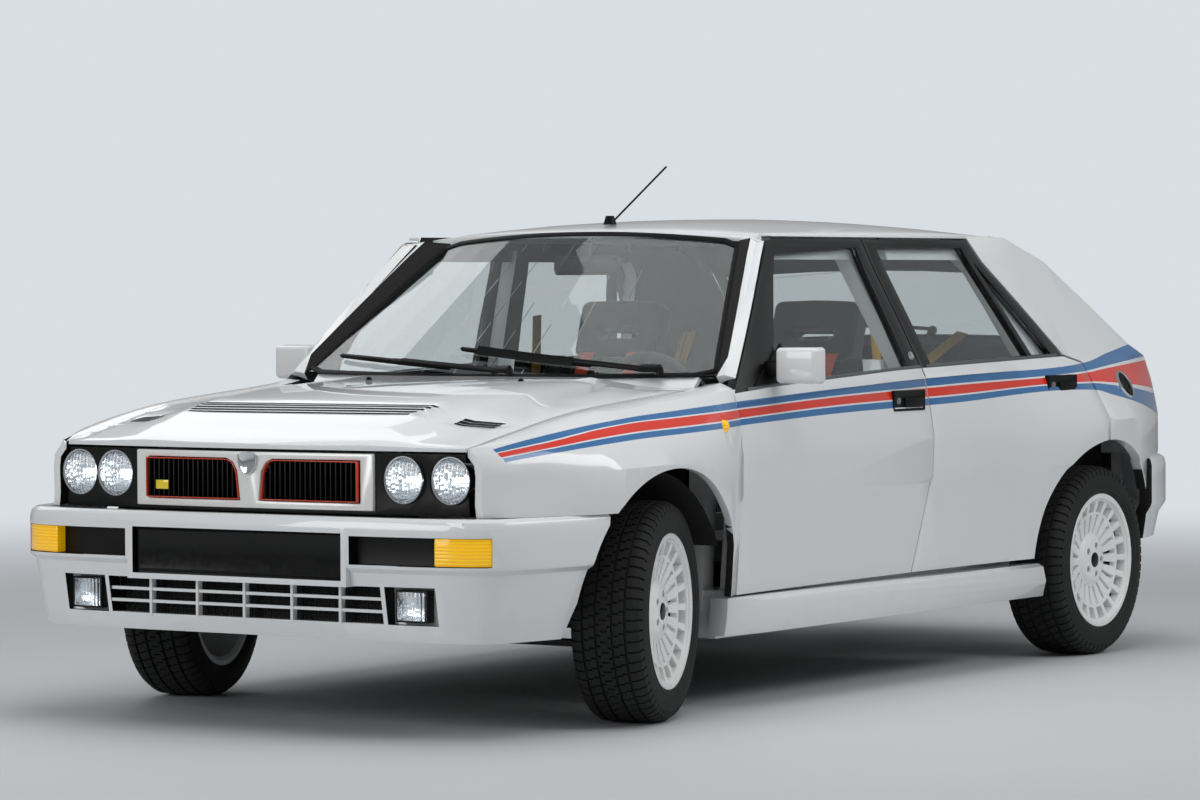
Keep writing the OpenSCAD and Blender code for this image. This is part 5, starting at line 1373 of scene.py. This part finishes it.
seat_x = 0.350
for side, sign in (("left", 1), ("right", -1)):
    x = sign * seat_x
    lean = seat_back_frame(x)
    pads = [cushion("seat pad", (x - 0.160, -0.270, 0.352), (x + 0.160, 0.180, 0.430), 0.06)]
    pads += [cushion("lower back", (-0.150, 0.006, 0.030), (0.150, 0.082, 0.285), 0.06, lean),
             cushion("upper back", (-0.150, 0.006, 0.290), (0.150, 0.082, 0.545), 0.06, lean)]
    padding = joined(f"seat_padding_{side}", pads)
    fit(padding, seat_cloth, "root", "seat_cloth")
    wings = []
    for edge in (-1, 1):
        wings.append(cushion("thigh bolster", (x + edge * 0.190 - 0.030, -0.262, 0.352),
            (x + edge * 0.190 + 0.030, 0.190, 0.478), 0.05))
        wings.append(cushion("back bolster", (edge * 0.180 - 0.034, -0.035, 0.060),
            (edge * 0.180 + 0.034, 0.080, 0.545), 0.04, lean))
    wings.append(cushion("seat back", (-0.205, 0.040, 0.010), (0.205, 0.092, 0.560), 0.02, lean))
    head = cushion("head part", (-0.148, 0.012, 0.550), (0.148, 0.082, 0.728), 0.07)
    carve(head, rounded("slot", (-0.078, -0.05, 0.606), (0.078, 0.15, 0.644), 0.016, 4, 60))
    head.data.transform(lean)
    wings.append(head)
    bolsters = joined(f"seat_bolsters_{side}", wings)
    fit(bolsters, suede, "root", "seat_cloth")
    rails = [block("runner", (x + edge * 0.170 - 0.018, -0.240, 0.2185),
        (x + edge * 0.170 + 0.018, 0.180, 0.250)) for edge in (-1, 1)]
    rails += [block("stand", (x + edge * 0.170 - 0.010, -0.200, 0.248),
        (x + edge * 0.170 + 0.010, 0.150, 0.356)) for edge in (-1, 1)]
    rails = joined(f"seat_runners_{side}", rails)
    soften(rails, 0.003)
    fit(rails, chassis_black, "root", "bare_steel")
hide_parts("front_seats")

back_lean = Matrix.Translation((0, 0.690, 0.392)) @ Matrix.Rotation(math.radians(-18), 4, "X")
bench = []
for x0, x1 in ((-0.555, -0.190), (-0.185, 0.185), (0.190, 0.555)):
    bench.append(cushion("bench pad", (x0, 0.386, 0.222), (x1, 0.700, 0.414), 0.04))
    bench.append(cushion("bench back", (x0, 0.004, 0.030), (x1, 0.104, 0.495), 0.04, back_lean))
bench = joined("rear_bench", bench)
fit(bench, seat_cloth, "root", "seat_cloth", "rear_seat")

# Belts: woven straps, orange-red in front over the seats' shoulders, and yellow
# ones on the pillars beside the rear seat
straps = {}
for name, code in (("orange-red", "#D8431B"), ("yellow", "#D9A417")):
    webbing, tree, shader, place = new_finish(f"{name} belt webbing", Base_Color=colour(code),
        Roughness=0.7, Sheen_Weight=0.2)
    ribs = add_ribs(tree, place, "DIAGONAL", 0.003)
    raise_surface(tree, shader, ribs.outputs[1], 0.0004, 0.7)
    straps[name] = webbing
lap = []
for sign in (-1, 1):
    lean = seat_back_frame(sign * seat_x)
    for edge in (-0.085, 0.085):
        places = [lean @ Vector((edge, y, z)) for y, z in ((-0.018, 0.08), (-0.022, 0.30), (-0.016, 0.50),
                                                           (0.000, 0.556),
                                                           (0.050, 0.572), (0.102, 0.556), (0.106, 0.40),
                                                           (0.106, 0.12))]
        looks = [lean.to_3x3() @ Vector(way) for way in ((0, -1, 0), (0, -1, 0), (0, -1, 0.3),
                                                         (0, -0.7, 0.7), (0, 0, 1), (0, 0.7, 0.7),
                                                         (0, 1, 0), (0, 1, 0))]
        lap.append(ribbon("strap", places, looks, 0.046, 0.0025))
fit(joined("front_harness_straps", lap), straps["orange-red"], "root", "seat_cloth")
side_belts = []
for sign in (-1, 1):
    places = [Vector((sign * 0.600, 0.300, 1.060)), Vector((sign * 0.612, 0.310, 0.90)),
              Vector((sign * 0.620, 0.320, 0.70)),
              Vector((sign * 0.625, 0.330, 0.45))]
    side_belts.append(ribbon("front belt", places, (-sign, 0, 0.1), 0.046, 0.002))
    places = [Vector((sign * 0.500, 1.020, 1.000)), Vector((sign * 0.420, 0.800, 0.860)),
              Vector((sign * 0.360, 0.640, 0.600)),
              Vector((sign * 0.300, 0.560, 0.440))]
    side_belts.append(ribbon("rear belt", places, (0, -0.6, 0.8), 0.046, 0.002))
fit(joined("pillar_belts", side_belts), straps["yellow"], "root", "seat_cloth")


# ---- Tailgate fittings ----
# A rubber seal round the rear window, a single black wiper that parks across it,
# a key barrel, and a blank white plate in a black frame between the lamps.
def gate_place(x, y):
    """A place on the sloping glass and skin of the tailgate, seen from above."""
    spots = [from_above(node, x, y)[0] for node in ("tailgate", "rear_window")]
    return max((spot for spot in spots if spot), key=lambda spot: spot.z, default=None)


window_corners = [(-0.547, 1.311), (0.547, 1.311), (0.614, 1.683), (-0.614, 1.683)]
edge_places = []
for (x0, y0), (x1, y1) in zip(window_corners, window_corners[1:] + window_corners[:1]):
    for i in range(1, 16):
        spot = gate_place(x0 + (x1 - x0) * i / 16, y0 + (y1 - y0) * i / 16)
        if spot:
            edge_places.append(spot)
glass_way = from_above("rear_window", 0.2, 1.5)[1]
rear_seal = ribbon("rear_window_seal", [spot - glass_way * 0.001 for spot in edge_places], glass_way,
    0.018, 0.0045, True)
fit(rear_seal, seal_rubber, "tailgate_lid", "black_trim")

park = [gate_place(0.03 - 0.52 * i / 8, 1.655 - 0.060 * i / 8) for i in range(9)]
park = [spot + glass_way * 0.007 for spot in park]
gate_wiper = [ribbon("blade", park[2:], glass_way, 0.010, 0.010),
    ribbon("arm", [spot + glass_way * 0.008 for spot in park[:6]], glass_way, 0.014, 0.007),
    turned("spindle", [(0.0, 0.0180), (0.0110, 0.0170), (0.0150, 0.0100), (0.0150, -0.010),
    (0.0, -0.010)], park[0], glass_way, 28)]
fit(joined("rear_wiper", gate_wiper), black_plastic, "tailgate_lid", "black_trim")

for name, x0, x1, z0, z1, out, finish, slot in (
        ("rear_plate_frame", -0.268, 0.268, 0.640, 0.762, 0.006, black_plastic, "black_trim"),
        ("blank_rear_plate", -0.260, 0.260, 0.646, 0.756, 0.008, wheel_white, "body_paint")):
    low_spot = from_behind("tailgate", 0.1, z0 + 0.010)[0]
    high_spot = from_behind("tailgate", 0.1, z1 - 0.010)[0]
    plate = block(name, (x0, -0.004, z0), (x1, out, z1))
    for corner in plate.data.vertices:
        part = (corner.co.z - z0 - 0.010) / (z1 - z0 - 0.020)
        corner.co.y += low_spot.y + (high_spot.y - low_spot.y) * part
    soften(plate, 0.0025, 40, 3)
    fit(plate, finish, "tailgate_lid", slot)
spot, facing = from_behind("tailgate", 0.0, 0.815)
if spot:
    lock = turned("tailgate_lock", [(0.0, 0.0030), (0.0080, 0.0030), (0.0095, 0.0052), (0.0150, 0.0052),
        (0.0165, 0.0025), (0.0165, -0.005), (0.0, -0.005)], spot, facing, 32)
    fit(lock, black_plastic, "tailgate_lid", "black_trim")

# Black moulded surrounds that the tail lamps are screwed to, with a skirt that
# closes the pocket down to the bumper and two cross-head screws in it.
low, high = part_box("tail_lamps")
surround_pieces = []
for side in (-1, 1):
    lamp_corners = [vertex.co.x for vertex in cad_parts["tail_lamps"].data.vertices
        if vertex.co.x * side > 0]
    inner, outer = min(lamp_corners, key=abs), max(lamp_corners, key=abs)
    for z0, z1, depth in ((0.6285, 0.8720, 0.0240), (0.6285, 0.6975, 0.0560)):
        surround_pieces.append(rounded("plate", (min(inner, outer) - (0.006 if side < 0 else -0.0005),
            low.y + 0.0002, z0), (max(inner, outer) + (0.006 if side > 0 else -0.0005), low.y + depth,
            z1), 0.0025, 3))
    for x in (inner * 0.82 + outer * 0.18, inner * 0.18 + outer * 0.82):
        surround_pieces.append(turned("screw", [(0.0025, 0.0010), (0.0030, 0.0034), (0.0055, 0.0030),
            (0.0070, 0.0), (0.0070, -0.004), (0.0, -0.004), (0.0, 0.0004), (0.0025, 0.0010)],
            (x, low.y + 0.0560, 0.664), (0, 1, 0), 20))
fit(joined("tail_lamp_surrounds", surround_pieces), black_plastic, "root", "black_trim")


# ---- Wheelhouses ----
# Arched steel liners that close the engine bay off from the front wheels, spot
# welded to the inner wings and sprayed with the same sealant as the floor.
turns = [math.radians(180 - 155 * i / 30) for i in range(31)]
liner_radius = 0.372
wheelhouse = meshed("wheelhouse_left", [
    (x, front_axle + liner_radius * math.cos(turn), wheel_height + liner_radius * math.sin(turn))
    for turn in turns for x in (0.4105, 0.60, 0.795)], [], [
    (i * 3 + j, i * 3 + j + 1, i * 3 + j + 4, i * 3 + j + 3) for i in range(30) for j in (0, 1)])
sheet = wheelhouse.modifiers.new("sheet", "SOLIDIFY")
sheet.thickness = 0.003
wheelhouse = set_in_place(wheelhouse)
soften(wheelhouse, 0.0008, 40)
fit(wheelhouse, sealant, "root", "underbody")
fit(copy_of(wheelhouse, "wheelhouse_right", mirror_x), sealant, "root", "underbody")

# Strut tops: a pressed cup with a centre nut and three studs, on the wing shelf
top_pieces = []
strut_x = 0.570
for side in (-1, 1):
    top_pieces.append(turned("cup", [(0.0, 0.0125), (0.014, 0.0125), (0.017, 0.006), (0.034, 0.009),
        (0.041, 0.006), (0.044, -0.001), (0.0, -0.001)], (side * strut_x, front_axle, 0.782), (0, 0, 1),
        40))
    top_pieces.append(turned("nut", [(0.0, 0.012), (0.008, 0.012), (0.010, 0.010), (0.010, 0.0),
        (0.0, 0.0)], (side * strut_x, front_axle, 0.794), (0, 0, 1), 6, 20))
    for i in range(3):
        turn = math.radians(90 + 120 * i)
        top_pieces.append(turned("stud", [(0.0, 0.009), (0.005, 0.009), (0.0065, 0.007), (0.0065, 0.0),
            (0.0, 0.0)], (side * strut_x + 0.027 * math.cos(turn), front_axle + 0.027 * math.sin(turn),
            0.789), (0, 0, 1), 6, 20))
fit(joined("strut_tops", top_pieces), pipe_steel, "root", "bare_steel")


# ---- Engine dressing ----
# Twin-cam head in cast aluminium, with two cam covers in red crackle enamel that
# was baked until it wrinkled; the raised ribs are machined back to bare metal.
crackle_red = grained("red crackle enamel", "#8C1A12", 0.0025, 0.0003, (0.42, 0.68), 4.0, Roughness=0.55)

head = [rounded("head", (-0.256, -1.372, 0.688), (0.256, -1.068, 0.742), 0.008),
        rounded("deck", (-0.284, -1.392, 0.690), (0.284, -1.048, 0.704), 0.004),
        rounded("plenum", (-0.230, -1.446, 0.640), (0.200, -1.380, 0.700), 0.022)]
fit(joined("cylinder_head", head), cast_alloy, "root", "engine_metal")
covers, ribs, wells = [], [], []
for y in (-1.302, -1.138):
    covers.append(rounded("cover", (-0.245, y - 0.056, 0.738), (0.245, y + 0.056, 0.792), 0.020, 5))
    for i in range(5):
        ribs.append(rounded("rib", (-0.190, y - 0.034 + 0.0155 * i, 0.789),
            (0.190, y - 0.028 + 0.0155 * i, 0.7955), 0.0012, 2))
    for x in (-0.228, 0.228):
        for dy in (-0.050, 0.050):
            ribs.append(turned("cover_nut", [(0.0, 0.007), (0.006, 0.007), (0.008, 0.005),
                (0.008, -0.012), (0.0, -0.012)], (x, y + dy, 0.786), (0, 0, 1), 6, 20))
for x in (-0.165, -0.055, 0.055, 0.165):
    wells.append(turned("plug_cap", [(0.0, 0.026), (0.009, 0.026), (0.012, 0.022), (0.012, 0.008),
        (0.017, 0.004), (0.017, -0.004), (0.0, -0.004)], (x, -1.220, 0.746), (0, 0, 1), 24))
wells.append(rounded("plug_rail", (-0.205, -1.236, 0.740), (0.205, -1.204, 0.752), 0.004, 3))
wells.append(turned("oil_cap", [(0.0, 0.022), (0.020, 0.022), (0.026, 0.018), (0.026, 0.004), (0.0, 0.0)],
    (0.205, -1.302, 0.786), (0, 0, 1), 12, 20))
wells.append(rounded("belt_cover", (-0.322, -1.380, 0.430), (-0.288, -1.060, 0.772), 0.015))
fit(joined("cam_covers", covers), crackle_red, "root", "engine_metal")
fit(joined("cam_cover_ribs", ribs), bright_metal, "root", "bare_steel")
fit(joined("plug_caps_and_belt_cover", wells), black_plastic, "root", "dash_plastic")


# ---- Radiator, air box and coolant pipes ----
# An aluminium core between black end tanks, behind a white cross-member with the
# bonnet lock; stiff moulded rubber pipes with band clips run to the head.
def moulded_pipe(name, route, radius):
    """A stiff moulded pipe, eased through the places of its route."""
    line = bpy.data.curves.new(name, "CURVE")
    line.dimensions = "3D"
    line.bevel_depth = radius
    line.bevel_resolution = 4
    line.use_fill_caps = True
    path = line.splines.new("NURBS")
    path.points.add(len(route) - 1)
    for point, place_on_it in zip(path.points, route):
        point.co = (*place_on_it, 1)
    path.order_u = 4
    path.use_endpoint_u = True
    path.resolution_u = 8
    pipe = set_in_place(in_scene(name, line))
    bpy.ops.object.shade_smooth_by_angle(angle=math.radians(40))
    return pipe


cooling_fins, tree, shader, place = new_finish("painted radiator fins", Base_Color=colour("#2A2B2C"),
    Metallic=1.0, Roughness=0.45)
# the real fins stand 1.5 mm apart, drawn 6 mm apart so that they show
fins = add_node(tree, "ShaderNodeTexWave", {"bands_direction": "X"},
    {"Vector": place.outputs["Object"], "Scale": 6.283 / 0.006 / 20})
raise_surface(tree, shader, fins.outputs[0], 0.0015)
fit(rounded("radiator_core", (-0.300, -1.735, 0.350), (0.300, -1.700, 0.690), 0.003, 2), cooling_fins,
    "root", "bare_steel")
tanks = [rounded("tank", (side * 0.318 - 0.022, -1.742, 0.345), (side * 0.318 + 0.022, -1.693, 0.695),
                 0.010) for side in (-1, 1)]
tanks.append(turned("filler", [(0.0, 0.020), (0.020, 0.020), (0.024, 0.016), (0.024, 0.006),
    (0.018, 0.002), (0.018, -0.010), (0.0, -0.010)], (-0.318, -1.717, 0.698), (0, 0, 1), 16, 25))
tanks.append(rounded("air_box", (0.110, -1.640, 0.500), (0.352, -1.452, 0.655), 0.014))
tanks.append(rounded("air_box_lid", (0.104, -1.646, 0.658), (0.358, -1.450, 0.704), 0.012))
for x in (0.150, 0.231, 0.312):
    tanks.append(rounded("lid_rib", (x - 0.006, -1.630, 0.700), (x + 0.006, -1.470, 0.708), 0.002, 2))
tanks.append(rounded("bonnet_lock", (-0.030, -1.762, 0.722), (0.030, -1.712, 0.738), 0.004, 3))
fit(joined("radiator_tanks_and_air_box", tanks), black_plastic, "root", "dash_plastic")
crossmember = rounded("crossmember", (-0.391, -1.790, 0.698), (0.391, -1.690, 0.726), 0.006, 3)
fit(crossmember, white_paint, "root", "body_paint")
pipes = []
for name, radius, route in (
        ("top_pipe", 0.019, ((-0.318, -1.700, 0.655), (-0.316, -1.640, 0.660), (-0.290, -1.560, 0.690),
                             (-0.225, -1.500, 0.735), (-0.180, -1.440, 0.745), (-0.175, -1.372, 0.722))),
        ("inlet_pipe", 0.030, ((0.110, -1.560, 0.640), (0.040, -1.562, 0.645), (-0.030, -1.560, 0.650),
                               (-0.060, -1.520, 0.662), (-0.062, -1.440, 0.668))),
        ("bottom_pipe", 0.019, ((0.318, -1.700, 0.400), (0.314, -1.600, 0.398), (0.270, -1.520, 0.395),
                                (0.262, -1.444, 0.395)))):
    pipes.append(moulded_pipe(name, route, radius))
fit(joined("coolant_and_inlet_pipes", pipes), seal_rubber, "root", "black_trim")
clips = [turned("clip", [(0.0196, -0.004), (0.0206, -0.004), (0.0206, 0.004), (0.0196, 0.004),
                         (0.0196, -0.004)], spot, way, 32)
         for spot, way in (((-0.3178, -1.688, 0.6565), (0.0, 1.0, 0.06)),
                           ((-0.1762, -1.392, 0.7305), (0.04, 1.0, -0.35)))]
fit(joined("pipe_clips", clips), bright_metal, "root", "bare_steel")


# ---- Brake servo, battery and washer bottle ----
# A pressed steel vacuum drum with its cast cylinder on the bulkhead, a black
# battery on its tray with lead posts, and a milky polythene bottle with a cap.
milky_polythene = grained("milky polythene", "#D9D8CC", 0.004, 0.00008, (0.36, 0.5), Roughness=0.42,
    Subsurface_Weight=0.3, Subsurface_Scale=0.01)
servo = turned("drum", [(0.0, 0.0), (0.104, 0.0), (0.108, 0.004), (0.108, 0.040), (0.112, 0.044),
    (0.112, 0.050), (0.106, 0.054), (0.100, 0.074), (0.070, 0.086), (0.035, 0.090), (0.030, 0.100),
    (0.0, 0.100)], (0.250, -0.789, 0.665), (0, -1, 0), 48)
tray = rounded("battery_tray", (-0.372, -0.992, 0.440), (-0.128, -0.787, 0.458), 0.004, 3)
fit(joined("brake_servo_and_tray", [servo, tray]), chassis_black, "root", "underbody")
cylinder = [turned("cylinder", [(0.0, 0.0), (0.024, 0.0), (0.024, 0.070), (0.020, 0.076), (0.0, 0.076)],
    (0.250, -0.886, 0.665), (0, -1, 0), 28)]
for x in (-0.325, -0.175):
    cylinder.append(turned("post", [(0.0, 0.016), (0.007, 0.016), (0.0085, 0.014), (0.0095, -0.002),
        (0.0, -0.002)], (x, -0.850, 0.648), (0, 0, 1), 20))
    cylinder.append(rounded("clamp", (x - 0.016, -0.868, 0.650), (x + 0.016, -0.832, 0.661), 0.004, 3))
fit(joined("brake_cylinder_and_posts", cylinder), cast_alloy, "root", "engine_metal")
case = [rounded("case", (-0.362, -0.982, 0.456), (-0.138, -0.806, 0.632), 0.005, 3),
        rounded("lid", (-0.366, -0.986, 0.630), (-0.134, -0.802, 0.649), 0.005, 3)]
for i in range(6):
    case.append(turned("cell_cap", [(0.0, 0.004), (0.010, 0.004), (0.012, 0.002), (0.012, -0.002),
        (0.0, -0.002)], (-0.345 + 0.038 * i, -0.940, 0.649), (0, 0, 1), 20))
case.append(turned("bottle_cap", [(0.0, 0.014), (0.022, 0.014), (0.025, 0.011), (0.025, -0.004),
    (0.0, -0.004)], (0.478, -1.660, 0.704), (0, 0, 1), 24))
case.append(turned("reservoir_cap", [(0.0, 0.012), (0.018, 0.012), (0.021, 0.009), (0.021, -0.004),
    (0.0, -0.004)], (0.250, -0.925, 0.742), (0, 0, 1), 24))
fit(joined("battery_case_and_caps", case), black_plastic, "root", "dash_plastic")
bottles = [rounded("washer_bottle", (0.409, -1.715, 0.470), (0.545, -1.610, 0.690), 0.016),
           turned("neck", [(0.0, 0.018), (0.020, 0.018), (0.020, -0.006), (0.0, -0.006)],
                  (0.478, -1.660, 0.688), (0, 0, 1), 24),
           rounded("reservoir", (0.205, -0.962, 0.688), (0.295, -0.892, 0.742), 0.010)]
fit(joined("washer_bottle_and_reservoir", bottles), milky_polythene, "root", "lamp_glass")


# ---- Exhaust ----
# Drawn steel pipe that widens at the rear and ends in an open, rolled mouth; it runs
# under the floor and out below the bumper. Inside the mouth it is near-black: real soot, and painted shade
# for a dark hole, as the bore is closed 200 mm in.
soot_and_shade = grained("soot on steel", "#0B0A09", 0.003, 0.0002, (0.85, 0.98), Roughness=0.95)
low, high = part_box("exhaust")
pipe_x, pipe_z = (low.x + high.x) / 2, (low.z + high.z) / 2
length = high.y - low.y
pipe = turned("pipe", [(0.0, 0.0), (0.0245, 0.0), (0.0258, 0.0015), (0.0258, length - 0.352),
    (0.0345, length - 0.326), (0.0345, length - 0.004), (0.0340, length - 0.0005),
    (0.0325, length - 0.0005), (0.0318, length - 0.004), (0.0318, length - 0.200), (0.0, length - 0.200)],
    (pipe_x, low.y, pipe_z), (0, 1, 0), 48)
pipe.data.materials.append(pipe_steel)
# near-black inside the mouth: real soot and painted shade together
reface(pipe, soot_and_shade, lambda face: face.center.y > high.y - 0.21 and (
    math.hypot(face.center.x - pipe_x, face.center.z - pipe_z) < 0.0321))
fit(pipe, None, "root", "bare_steel", "exhaust")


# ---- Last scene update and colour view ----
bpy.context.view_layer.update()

scene = bpy.context.scene
scene.view_settings.view_transform = "Standard"
